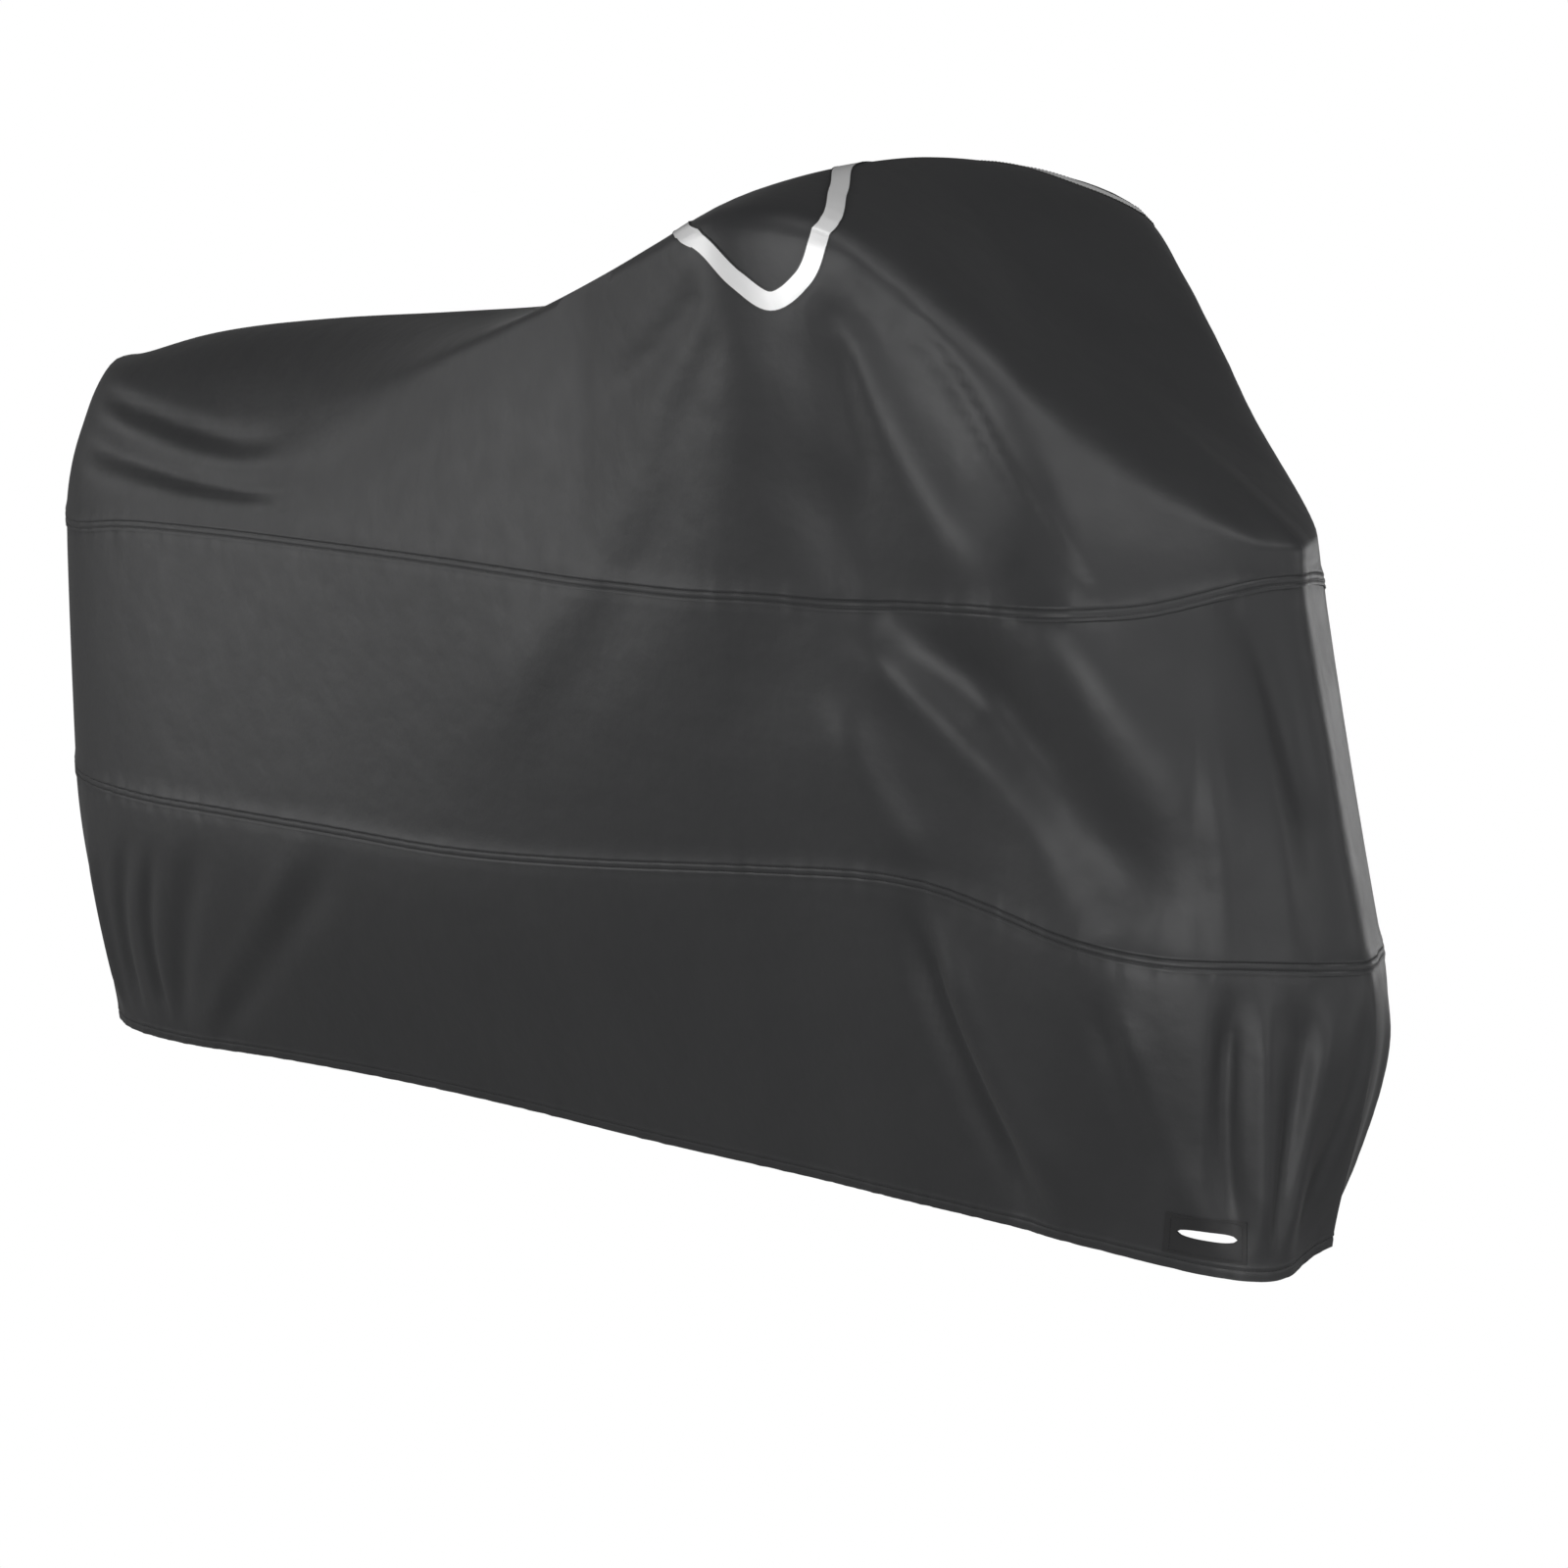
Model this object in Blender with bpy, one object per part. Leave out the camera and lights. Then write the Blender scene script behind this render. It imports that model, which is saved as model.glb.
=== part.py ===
"""Fitted bicycle cover as it stands over a bicycle: two panels, a skirt and their trim.

+X is the front of the bicycle, +Z is up, and the near side is -Y. The cover is one
surface, described by ribs: upright profiles that leave the spine (the line along the
top) and run down over the shoulder and the two seams to the hem. A place on it is a
station (metres round the girth, from the rear centre to the front centre) and a level
(0 hem, 1 lower seam, 2 upper seam, 3 shoulder, 4 spine). Each panel is that surface
between two levels, given the thickness of its cloth.
"""
import bpy
import numpy as np
from mathutils import Vector
from mathutils.bvhtree import BVHTree

# --- Driving dimensions, in metres -------------------------------------------------

CLOTH_THICKNESS = 0.0015
HEM_THICKNESS = 0.0030          # the hem is folded over, so it is twice as thick
PIECE_GAP = 0.0003              # clearance between pieces that are sewn together
LEVEL_HEIGHT = 0.33             # typical distance between two levels

HEM, LOWER_SEAM, UPPER_SEAM, SPINE = 0.0, 1.0, 2.0, 4.0

# One row per rib. Heading is the way the rib leaves the spine: 0 straight to the side,
# -90 to the rear, 90 to the front. "out" is the distance from the spine, "z" the height.
RIB_COLUMNS = (
    "spine_x", "spine_z", "heading", "shoulder_out", "shoulder_z", "upper_out", "upper_z",
    "lower_out", "lower_z", "hem_out", "hem_out_far", "hem_z",
)
RIBS = {
    "rear_centre":  (-.885,  .865, -90, .067, .857, .100, .703, .096, .354, .055, .050, .033),
    "rear_quarter": (-.868,  .869, -52, .082, .858, .133, .682, .132, .354, .087, .080, .025),
    "rear_corner":  (-.835,  .883, -22, .106, .840, .176, .652, .170, .334, .119, .115, .010),
    "rear_side":    (-.740,  .900,  -4, .128, .812, .195, .661, .192, .324, .131, .129, .006),
    "saddle_rear":  (-.560,  .918,   0, .146, .793, .204, .663, .201, .323, .127, .127, .012),
    "saddle_mid":   (-.360,  .931,   0, .168, .831, .214, .661, .207, .323, .120, .121, .014),
    "saddle_nose":  (-.150,  .947,   0, .208, .891, .231, .659, .211, .322, .116, .118, .012),
    "waist":        (.080,  .980,   0, .245, .967, .251, .655, .212, .335, .118, .122, .007),
    "bar_back":     (.270, 1.069,   0, .298, 1.019, .262, .654, .208, .351, .120, .125, .006),
    "bar":          (.385, 1.119,   2, .320, 1.052, .261, .657, .205, .361, .122, .126, .005),
    "bar_front":    (.418, 1.106,  14, .275, 1.044, .255, .656, .212, .367, .130, .128, .005),
    "stem_side":    (.440, 1.088,  30, .268, .962, .260, .659, .230, .367, .146, .134, .004),
    "fork_side":    (.460, 1.070,  44, .268, .895, .276, .661, .266, .350, .176, .150, .003),
    "fork_corner":  (.480, 1.052,  56, .278, .836, .338, .664, .339, .325, .235, .222, .001),
    "wheel_side":   (.500, 1.033,  66, .300, .789, .343, .668, .391, .313, .327, .300, -.002),
    "wheel_corner": (.520, 1.014,  75, .325, .755, .352, .684, .420, .313, .443, .360, -.007),
    "wheel_front":  (.540,  .995,  83, .347, .729, .347, .693, .434, .309, .412, .378, -.003),
    "front_centre": (.560,  .977,  90, .333, .728, .332, .694, .425, .306, .381, .381, .020),
}
SPINE_FULLNESS = 1.15           # how broadly the cloth rounds over the spine
RUN_ON = 3.0                    # how soon the band's line runs on below its lower seam
RIB_BLEND = 0.030               # how far along the girth one rib flows into the next
BLEND_STEPS = np.linspace(-2, 2, 9)
# The far side's fuller shoulders at the front, as (shoulder_out, shoulder_z).
FAR_SHOULDERS = {
    "fork_side": (.278, .880),
    "fork_corner": (.300, .815),
    "wheel_side": (.325, .765),
    "wheel_corner": (.342, .739),
}

# Stations between these limits are spaced this far apart.
STATION_SPACING = ((0.00, 0.42, .035), (0.42, 1.44, .060), (1.44, 1.94, .036))
# Round the lock slot and the front end the stations are placed one by one.
FRONT_STATIONS = (1.960, 1.980, 1.989, 2.004, 2.018, 2.033, 2.041, 2.072, 2.106, 2.142)
SKIRT_LEVELS = (.000, .044, .050, .109, .141, .184, .330, .500, .670, .840, LOWER_SEAM)
MIDDLE_LEVELS = (1.00, 1.17, 1.34, 1.50, 1.66, 1.83, UPPER_SEAM)
CROWN_LEVELS = (2.00, 2.22, 2.44, 2.65, 2.84, 3.00, 3.16, 3.38, 3.68, SPINE)
HEM_BAND_TOP = .044             # level up to which the hem is folded over

# The lock slot and the patch round it, as ranges of station and level.
SLOT_STATIONS, SLOT_LEVELS = (1.989, 2.033), (.109, .141)
PATCH_STATIONS, PATCH_LEVELS = (1.980, 2.041), (.050, .184)
PATCH_THICKNESS = 0.0015

# Main folds of the cloth, one row each. A fold runs from its start through its middle
# to its end, each a station and a level, and is a ridge where its depth is positive.
FOLD_COLUMNS = ("side", "start", "middle", "end", "start_width", "end_width", "depth")
FOLDS = {
    "fan_trough":        ("near", (1.57, 2.76), (1.64, 2.32), (1.88, 1.61), .032, .060, -.015),
    "fan_trough_low":    ("near", (1.74, 2.02), (1.92, 1.50), (2.10, 1.08), .045, .070, -.016),
    "fan_ridge":         ("near", (1.60, 2.75), (1.72, 2.42), (1.95, 1.62), .032, .070, .010),
    "fan_ridge_low":     ("near", (1.92, 1.78), (2.03, 1.37), (2.16, 1.05), .050, .060, .010),
    "middle_ridge":      ("near", (1.57, 2.25), (1.71, 1.61), (1.97, 1.08), .050, .060, .014),
    "middle_trough":     ("near", (1.55, 2.16), (1.60, 1.51), (1.74, 1.10), .045, .050, -.012),
    "side_hollow":       ("near", (1.51, 2.58), (1.51, 2.15), (1.53, 1.27), .050, .080, -.012),
    "long_ridge":        ("near", (1.46, 2.66), (1.24, 2.07), (0.93, 1.14), .040, .060, .008),
    "long_trough":       ("near", (1.48, 2.66), (1.32, 2.13), (1.09, 1.28), .040, .055, -.008),
    "rear_swag":         ("near", (0.13, 2.56), (0.45, 2.39), (0.75, 2.27), .040, .050, -.012),
    "front_trough":      ("near", (2.06, 1.84), (2.10, 1.51), (2.15, 1.22), .035, .040, -.010),
    "skirt_trough":      ("near", (1.64, 0.98), (1.69, 0.48), (1.89, 0.06), .035, .045, -.015),
    "skirt_ridge":       ("near", (1.68, 0.90), (1.79, 0.53), (1.93, 0.16), .035, .040, .009),
    "rear_skirt_ridge":  ("near", (0.70, 0.94), (0.53, 0.48), (0.39, 0.08), .040, .035, .009),
    "rear_skirt_trough": ("near", (0.51, 0.92), (0.41, 0.46), (0.35, 0.08), .040, .035, -.008),
    "far_fan_trough":    ("far",  (1.56, 2.70), (1.66, 2.20), (1.92, 1.45), .032, .065, -.015),
    "far_fan_ridge":     ("far",  (1.60, 2.72), (1.76, 2.30), (2.02, 1.55), .032, .070, .011),
    "far_middle_ridge":  ("far",  (1.52, 2.30), (1.62, 1.66), (1.86, 1.12), .045, .060, .013),
    "far_side_hollow":   ("far",  (1.46, 2.50), (1.43, 2.05), (1.40, 1.20), .050, .080, -.012),
    "far_long_ridge":    ("far",  (1.42, 2.62), (1.16, 2.00), (0.82, 1.25), .040, .060, .008),
    "far_rear_swag":     ("far",  (0.10, 2.46), (0.38, 2.30), (0.66, 2.24), .040, .050, -.011),
    "far_skirt_trough":  ("far",  (1.58, 0.96), (1.66, 0.50), (1.84, 0.08), .035, .045, -.014),
    "far_skirt_ridge":   ("far",  (0.64, 0.92), (0.50, 0.46), (0.38, 0.08), .040, .035, .009),
}
FOLD_FADE = 0.28                # share of a fold's length over which each end dies out
FOLD_SAMPLES = 25

# Centre line of the reflective tape on the near side, from the spine round the grip
# and back to the spine, as stations and levels. The far side mirrors it.
TAPE_ROUTE = (
    (1.300, 4.00), (1.345, 3.58), (1.397, 3.20), (1.445, 2.90), (1.487, 2.77), (1.521, 2.71),
    (1.546, 2.76), (1.558, 2.90), (1.562, 3.06), (1.535, 3.38), (1.483, 3.68), (1.440, 4.00),
)
TAPE_WIDTH = 0.024
TAPE_THICKNESS = 0.0010
TAPE_STEPS = 96                 # cross-sections round the loop
TAPE_CLEARANCE = 0.0005         # the tape bridges the cloth's bends a little more freely
SEATING_ROUNDS = 5
SEAT_DIVISIONS = 8              # places tested along each side of a tape face

CLOTH_LOOK = ((.030, .031, .033, 1.0), .50)
TAPE_LOOK = ((.78, .79, .80, 1.0), .35)
PATCH_LOOK = ((.020, .020, .021, 1.0), .60)

# --- Curves ------------------------------------------------------------------------


def smooth_slopes(at, values):
    """Slopes of a curve that flows evenly through its points."""
    step = np.diff(at)[:, None]
    rise = np.diff(values, axis=0) / step
    slopes = np.zeros_like(values)
    slopes[1:-1] = (step[1:] * rise[:-1] + step[:-1] * rise[1:]) / (step[1:] + step[:-1])
    slopes[0], slopes[-1] = rise[0], rise[-1]
    return slopes


def taut_slopes(at, values):
    """Slopes of a curve that never swings past its points, as taut cloth does not."""
    step = np.diff(at)[:, None]
    rise = np.diff(values, axis=0) / step
    before, after = rise[:-1], rise[1:]
    w_before = 2 * step[1:] + step[:-1]
    w_after = step[1:] + 2 * step[:-1]
    slopes = np.zeros_like(values)
    same_way = before * after > 0
    mean = (w_before * after + w_after * before)
    mean[~same_way] = 1.0
    slopes[1:-1] = (w_before + w_after) * before * after / mean * same_way
    slopes[0], slopes[-1] = rise[0], rise[-1]
    return slopes


def curve_at(at, values, query, slopes):
    """Cubic curve through the values, read at each query."""
    slope = slopes(at, values)
    k = np.clip(np.searchsorted(at, query, side="right") - 1, 0, len(at) - 2)
    step = (at[k + 1] - at[k])[:, None]
    t = (query - at[k])[:, None] / step
    start = (2 * t**3 - 3 * t**2 + 1) * values[k] + (t**3 - 2 * t**2 + t) * step * slope[k]
    end = (3 * t**2 - 2 * t**3) * values[k + 1] + (t**3 - t**2) * step * slope[k + 1]
    return start + end


# --- The cover's surface -----------------------------------------------------------


def rib_table(side):
    """The ribs as named columns, with the spine's slope and each side's own values."""
    rows = np.array(list(RIBS.values()), float)
    table = dict(zip(RIB_COLUMNS, rows.T.copy()))
    table["spine_slope"] = np.gradient(table["spine_z"], table["spine_x"])
    if side == "far":
        table["hem_out"] = table["hem_out_far"]
        for name, shoulder in FAR_SHOULDERS.items():
            k = list(RIBS).index(name)
            table["shoulder_out"][k], table["shoulder_z"][k] = shoulder
    return table


def rib_stations():
    """Station of each rib: the distance along the lower seam from the rear centre."""
    rib = rib_table("near")
    heading = np.radians(rib["heading"])
    seam = np.stack([rib["spine_x"] + np.sin(heading) * rib["lower_out"],
                     -np.cos(heading) * rib["lower_out"], rib["lower_z"]], 1)
    return np.concatenate([[0], np.cumsum(np.linalg.norm(np.diff(seam, axis=0), axis=1))])


RIB_STATIONS = rib_stations()
HALF_GIRTH = RIB_STATIONS[-1]


def rib_rows(side, stations):
    """Rib values at any stations. Mirrored ribs past both ends keep the ends smooth."""
    table = rib_table(side)
    rows = np.stack(list(table.values()), 1)
    heading = list(table).index("heading")
    behind, ahead = rows[3:0:-1].copy(), rows[-2:-5:-1].copy()
    behind[:, heading] = -180 - behind[:, heading]
    ahead[:, heading] = 180 - ahead[:, heading]
    at = np.concatenate([-RIB_STATIONS[3:0:-1], RIB_STATIONS,
                         2 * HALF_GIRTH - RIB_STATIONS[-2:-5:-1]])
    all_rows = np.vstack([behind, rows, ahead])
    exact = curve_at(at, all_rows, stations, smooth_slopes)
    weights = np.exp(-BLEND_STEPS**2 / 2)
    soft = sum(weight * curve_at(at, all_rows, stations + step * RIB_BLEND, smooth_slopes)
               for weight, step in zip(weights, BLEND_STEPS)) / weights.sum()
    on_spine = [name.startswith("spine") for name in table]
    return [dict(zip(table, row)) for row in np.where(on_spine, exact, soft)]


def rib_points(rib, levels, side):
    """Points of one rib at the given levels. It leaves the spine along the spine's slope."""
    out = [rib["hem_out"], rib["lower_out"], rib["upper_out"], rib["shoulder_out"], 0.0]
    height = [rib["hem_z"], rib["lower_z"], rib["upper_z"], rib["shoulder_z"], rib["spine_z"]]
    heading = np.radians(rib["heading"])
    inward = -SPINE_FULLNESS * rib["shoulder_out"]
    at_spine = (inward, inward * np.sin(heading) * rib["spine_slope"])

    def rib_slopes(at, values):
        slopes = taut_slopes(at, values)
        below, above = values[1] - values[0], values[2] - values[1]
        slopes[1] += np.clip(-RUN_ON * below / above, 0, 1) * above
        slopes[-1] = at_spine
        return slopes

    profile = curve_at(np.arange(5.0), np.array([out, height]).T, levels, rib_slopes)
    across = -1.0 if side == "near" else 1.0
    return np.stack([rib["spine_x"] + np.sin(heading) * profile[:, 0],
                     across * np.cos(heading) * profile[:, 0], profile[:, 1]], 1)


def surface(side, stations, levels):
    """Smooth cover without folds: an array of stations by levels by xyz."""
    stations, levels = np.asarray(stations, float), np.asarray(levels, float)
    return np.array([rib_points(rib, levels, side) for rib in rib_rows(side, stations)])


def fold_path(start, middle, end):
    """Points of a bent line through a fold's start, middle and end."""
    t = np.linspace(0, 1, FOLD_SAMPLES)[:, None]
    start, middle, end = np.array(start), np.array(middle), np.array(end)
    control = 2 * middle - (start + end) / 2
    return (1 - t)**2 * start + 2 * t * (1 - t) * control + t**2 * end, t[:, 0]


def smoothstep(x):
    x = np.clip(x, 0, 1)
    return x * x * (3 - 2 * x)


def fold_height(side, stations, levels):
    """How far the folds push the cloth out at each station and level."""
    place = np.stack(np.meshgrid(stations, levels, indexing="ij"), -1)
    scale = np.array([1.0, LEVEL_HEIGHT])
    height = np.zeros(place.shape[:2])
    for row in FOLDS.values():
        fold = dict(zip(FOLD_COLUMNS, row))
        if fold["side"] != side:
            continue
        path, t = fold_path(fold["start"], fold["middle"], fold["end"])
        gap = np.linalg.norm((place[:, :, None] - path) * scale, axis=-1)
        nearest = gap.argmin(-1)
        share = t[nearest]
        width = fold["start_width"] + (fold["end_width"] - fold["start_width"]) * share
        ends = smoothstep(share / FOLD_FADE) * smoothstep((1 - share) / FOLD_FADE)
        height += fold["depth"] * ends * np.exp(-(gap.min(-1) / width)**2)
    return height


def stations_round():
    """Stations from the rear centre to the front centre."""
    runs = [np.linspace(a, b, round((b - a) / step), endpoint=False)
            for a, b, step in STATION_SPACING]
    return np.concatenate(runs + [FRONT_STATIONS, [HALF_GIRTH]])


class CoverSheet:
    """The outer face of the cloth as one net: columns round the girth, rows by level.

    Near columns run from the rear centre to the front centre, far columns run back.
    On the spine both sides share their points.
    """

    def __init__(self):
        self.stations = stations_round()
        self.levels = np.array(SKIRT_LEVELS[:-1] + MIDDLE_LEVELS[:-1] + CROWN_LEVELS)
        count, rows = len(self.stations), len(self.levels)
        near = surface("near", self.stations, self.levels)
        far = surface("far", self.stations, self.levels)[-2:0:-1]
        self.column_station = np.concatenate([self.stations, self.stations[-2:0:-1]])
        self.side = np.array(["near"] * count + ["far"] * (count - 2))
        columns = len(self.column_station)
        self.ids = np.arange(columns * rows).reshape(columns, rows)
        mirrored = np.concatenate([np.arange(count), np.arange(count - 2, 0, -1)])
        self.ids[:, -1] = self.ids[mirrored, -1]
        self.points = np.concatenate([near, far]).reshape(-1, 3)
        self.cells = self.grid_cells()
        fold = [fold_height("near", self.stations, self.levels),
                fold_height("far", self.stations, self.levels)[-2:0:-1]]
        push = np.concatenate(fold).reshape(-1, 1)
        self.points = self.points + self.vertex_normals() * push
        self.normals = self.vertex_normals()

    def grid_cells(self):
        """Corner ids of each cell, counter-clockwise from outside, with its place."""
        cells = {}
        columns, rows = self.ids.shape
        for column in range(columns):
            following = (column + 1) % columns
            for row in range(rows - 1):
                cells[column, row] = (self.ids[column, row], self.ids[following, row],
                                      self.ids[following, row + 1], self.ids[column, row + 1])
        return cells

    def vertex_normals(self):
        quads = np.array(list(self.cells.values()))
        corner = self.points[quads]
        facing = np.cross(corner[:, 2] - corner[:, 0], corner[:, 3] - corner[:, 1])
        normals = np.zeros_like(self.points)
        for k in range(4):
            np.add.at(normals, quads[:, k], facing)
        length = np.linalg.norm(normals, axis=1, keepdims=True)
        return normals / np.where(length > 0, length, 1.0)

    def row_of(self, level):
        return int(np.argmin(abs(self.levels - level)))

    def columns_between(self, side, first, last):
        """Columns whose cell lies between two stations on one side."""
        columns = len(self.column_station)
        found = []
        for column in range(columns):
            ends = self.column_station[[column, (column + 1) % columns]]
            on_side = self.side[column] == side or self.side[(column + 1) % columns] == side
            if on_side and min(ends) >= first - 1e-6 and max(ends) <= last + 1e-6:
                found.append(column)
        return found

    def block(self, side, stations, levels):
        """Cells of one side within a range of stations and levels."""
        rows = range(self.row_of(levels[0]), self.row_of(levels[1]))
        return {(column, row) for column in self.columns_between(side, *stations)
                for row in rows}

    def panel_cells(self, bottom, top, holes=()):
        rows = range(self.row_of(bottom), self.row_of(top))
        return {place for place in self.cells if place[1] in rows} - set(holes)


# --- Making objects ----------------------------------------------------------------


def clear_scene():
    for item in list(bpy.data.objects):
        bpy.data.objects.remove(item, do_unlink=True)


def material(name, look):
    colour, roughness = look
    made = bpy.data.materials.new(name)
    made.use_nodes = True
    shader = made.node_tree.nodes["Principled BSDF"]
    shader.inputs["Base Color"].default_value = colour
    shader.inputs["Roughness"].default_value = roughness
    shader.inputs["Metallic"].default_value = 0.0
    return made


def triangles(quads):
    """Both triangles of each quad, always split along the same diagonal."""
    return [corners for a, b, c, d in quads for corners in ((a, b, c), (a, c, d))]


def add_object(name, points, quads, look, root):
    used = sorted({corner for quad in quads for corner in quad})
    number = {old: new for new, old in enumerate(used)}
    faces = [tuple(number[corner] for corner in face) for face in triangles(quads)]
    mesh = bpy.data.meshes.new(name)
    mesh.from_pydata([tuple(points[old]) for old in used], [], faces)
    mesh.shade_smooth()
    mesh.set_sharp_from_angle(angle=np.radians(40))
    mesh.materials.append(material(name + "_material", look))
    made = bpy.data.objects.new(name, mesh)
    made.parent = root
    bpy.context.collection.objects.link(made)
    return made


def thick_quads(quads, count):
    """Quads of a closed solid: the outer face, the inner face and the rims between.

    Inner point number = outer point number + count.
    """
    edges = {(quad[k], quad[(k + 1) % 4]) for quad in quads for k in range(4)}
    rims = [(b, a, a + count, b + count) for a, b in sorted(edges) if (b, a) not in edges]
    inner = [(a + count, d + count, c + count, b + count) for a, b, c, d in quads]
    return list(quads) + inner + rims


def cloth_panel(name, sheet, bottom, top, look, root, holes=()):
    """One panel between two levels. Seamed edges stop short by half the gap."""
    outer = sheet.points.copy()
    low, high = sheet.row_of(bottom), sheet.row_of(top)
    seamed = [(low, low + 1)] if bottom > HEM else []
    seamed += [(high, high - 1)] if top < SPINE else []
    for edge, inward in seamed:
        here, there = sheet.ids[:, edge], sheet.ids[:, inward]
        along = sheet.points[there] - sheet.points[here]
        along /= np.linalg.norm(along, axis=1, keepdims=True)
        outer[here] += along * PIECE_GAP / 2
    thickness = np.full(len(outer), CLOTH_THICKNESS)
    hem_rows = np.flatnonzero(sheet.levels <= HEM_BAND_TOP + 1e-6)
    thickness[sheet.ids[:, hem_rows].ravel()] = HEM_THICKNESS
    inner = outer - sheet.normals * thickness[:, None]
    cells = sorted(sheet.panel_cells(bottom, top, holes))
    quads = thick_quads([sheet.cells[place] for place in cells], len(outer))
    return add_object(name, np.concatenate([outer, inner]), quads, look, root)


def lock_patch(name, sheet, side, look, root):
    """The reinforcing patch round a lock slot, lying on the skirt."""
    cells = sheet.block(side, PATCH_STATIONS, PATCH_LEVELS)
    cells -= sheet.block(side, SLOT_STATIONS, SLOT_LEVELS)
    inner = sheet.points + sheet.normals * PIECE_GAP
    outer = inner + sheet.normals * PATCH_THICKNESS
    quads = thick_quads([sheet.cells[place] for place in sorted(cells)], len(outer))
    return add_object(name, np.concatenate([outer, inner]), quads, look, root)


def closed_curve(points, count):
    """Evenly parted points of a smooth closed curve through the given ones."""
    around = np.vstack([points[-3:], points, points[:3]])
    length = np.concatenate([[0], np.cumsum(np.linalg.norm(np.diff(around, axis=0), axis=1))])
    query = np.linspace(length[3], length[-3], count, endpoint=False)
    return curve_at(length, around, query, smooth_slopes)


def tape_centre_line():
    near = np.array([surface("near", [station], [level])[0, 0] for station, level in TAPE_ROUTE])
    far = near[-2:0:-1] * (1, -1, 1)
    return closed_curve(np.vstack([near, far]), TAPE_STEPS)


SEAT_TESTS = [(i / SEAT_DIVISIONS, j / SEAT_DIVISIONS, 1 - (i + j) / SEAT_DIVISIONS)
              for i in range(SEAT_DIVISIONS + 1) for j in range(SEAT_DIVISIONS + 1 - i)]


def height_over(tree, point):
    """Signed distance of a point from a mesh, and the mesh's direction there."""
    hit, facing, _, _ = tree.find_nearest(Vector(point))
    return (Vector(point) - hit).dot(facing), np.array(hit), np.array(facing)


def reflective_tape(sheet, look, root):
    """A band sewn round both grips and over the top, seated on the crown's faces."""
    crown_quads = [sheet.cells[place] for place in sorted(sheet.panel_cells(UPPER_SEAM, SPINE))]
    tree = BVHTree.FromPolygons([Vector(point) for point in sheet.points],
                                triangles([tuple(map(int, quad)) for quad in crown_quads]))
    centre = tape_centre_line()
    ahead = np.roll(centre, -1, axis=0) - np.roll(centre, 1, axis=0)
    seats, facings = [], []
    for point, way in zip(centre, ahead):
        _, hit, facing = height_over(tree, point + (0, 0, .004))
        across = np.cross(way, facing)
        across /= np.linalg.norm(across)
        for share in (.5, 0, -.5):
            _, seat, seat_facing = height_over(tree, hit + across * share * TAPE_WIDTH)
            seats.append(seat)
            facings.append(seat_facing)
    seats = np.array(seats).reshape(TAPE_STEPS, 3, 3)
    facings = smooth_round(np.array(facings).reshape(TAPE_STEPS, 3, 3))
    lift = np.full((TAPE_STEPS, 3), TAPE_CLEARANCE)
    for _ in range(SEATING_ROUNDS):
        lift += seating_shortfall(tree, seats + facings * lift[..., None])
    inner = (seats + facings * lift[..., None]).reshape(-1, 3)
    outer = inner + facings.reshape(-1, 3) * TAPE_THICKNESS
    ids = np.arange(TAPE_STEPS * 3).reshape(TAPE_STEPS, 3)
    following = np.roll(ids, -1, axis=0)
    quads = [(ids[k, c], following[k, c], following[k, c + 1], ids[k, c + 1])
             for k in range(TAPE_STEPS) for c in range(2)]
    points = np.concatenate([outer, inner])
    return add_object("reflective_tape", points, thick_quads(quads, len(outer)), look, root)


def smooth_round(facings):
    """Directions averaged with their neighbours round the loop and across it."""
    mixed = facings + np.roll(facings, 1, axis=0) + np.roll(facings, -1, axis=0)
    mixed += facings.mean(axis=1, keepdims=True)
    return mixed / np.linalg.norm(mixed, axis=-1, keepdims=True)


def seating_shortfall(tree, inner):
    """How much each tape point must rise for its faces to clear the cloth by the gap."""
    steps = len(inner)
    need = np.zeros(inner.shape[:2])
    for k in range(steps):
        after = (k + 1) % steps
        for c in range(2):
            for corners in (((k, c), (after, c), (after, c + 1)),
                            ((k, c), (after, c + 1), (k, c + 1))):
                for weights in SEAT_TESTS:
                    point = sum(w * inner[corner] for w, corner in zip(weights, corners))
                    short = TAPE_CLEARANCE - height_over(tree, point)[0]
                    for w, corner in zip(weights, corners):
                        if w > 0:
                            need[corner] = max(need[corner], short)
    return need


def stand_at_origin(objects):
    """Move the finished cover so that its box stands centred on the origin."""
    points = np.array([v.co for item in objects for v in item.data.vertices])
    low, high = points.min(0), points.max(0)
    shift = (-(low[0] + high[0]) / 2, -(low[1] + high[1]) / 2, -low[2])
    for item in objects:
        for vertex in item.data.vertices:
            vertex.co += Vector(shift)


def main():
    clear_scene()
    root = bpy.data.objects.new("bicycle_cover", None)
    bpy.context.collection.objects.link(root)
    sheet = CoverSheet()
    slots = [place for side in ("near", "far")
             for place in sheet.block(side, SLOT_STATIONS, SLOT_LEVELS)]
    crown = cloth_panel("crown_panel", sheet, UPPER_SEAM, SPINE, CLOTH_LOOK, root)
    middle = cloth_panel("middle_band", sheet, LOWER_SEAM, UPPER_SEAM, CLOTH_LOOK, root)
    skirt = cloth_panel("skirt", sheet, HEM, LOWER_SEAM, CLOTH_LOOK, root, slots)
    tape = reflective_tape(sheet, TAPE_LOOK, root)
    patches = [lock_patch("lock_patch_" + side, sheet, side, PATCH_LOOK, root)
               for side in ("near", "far")]
    stand_at_origin([crown, middle, skirt, tape] + patches)


main()
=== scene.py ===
# %% [markdown]
# # A fitted bicycle cover
# The real thing is three pieces of coated polyester sewn one above the other: a crown over the
# handlebar and saddle, a band round the middle, and a skirt with a turned-up hem. A silver
# tape runs round the bar ends, and a patch with a lock slot sits low at the front. This
# lesson rebuilds each piece as a fine mesh, in the place of its plain solid.

# %% Load the plain model
import math

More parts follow.
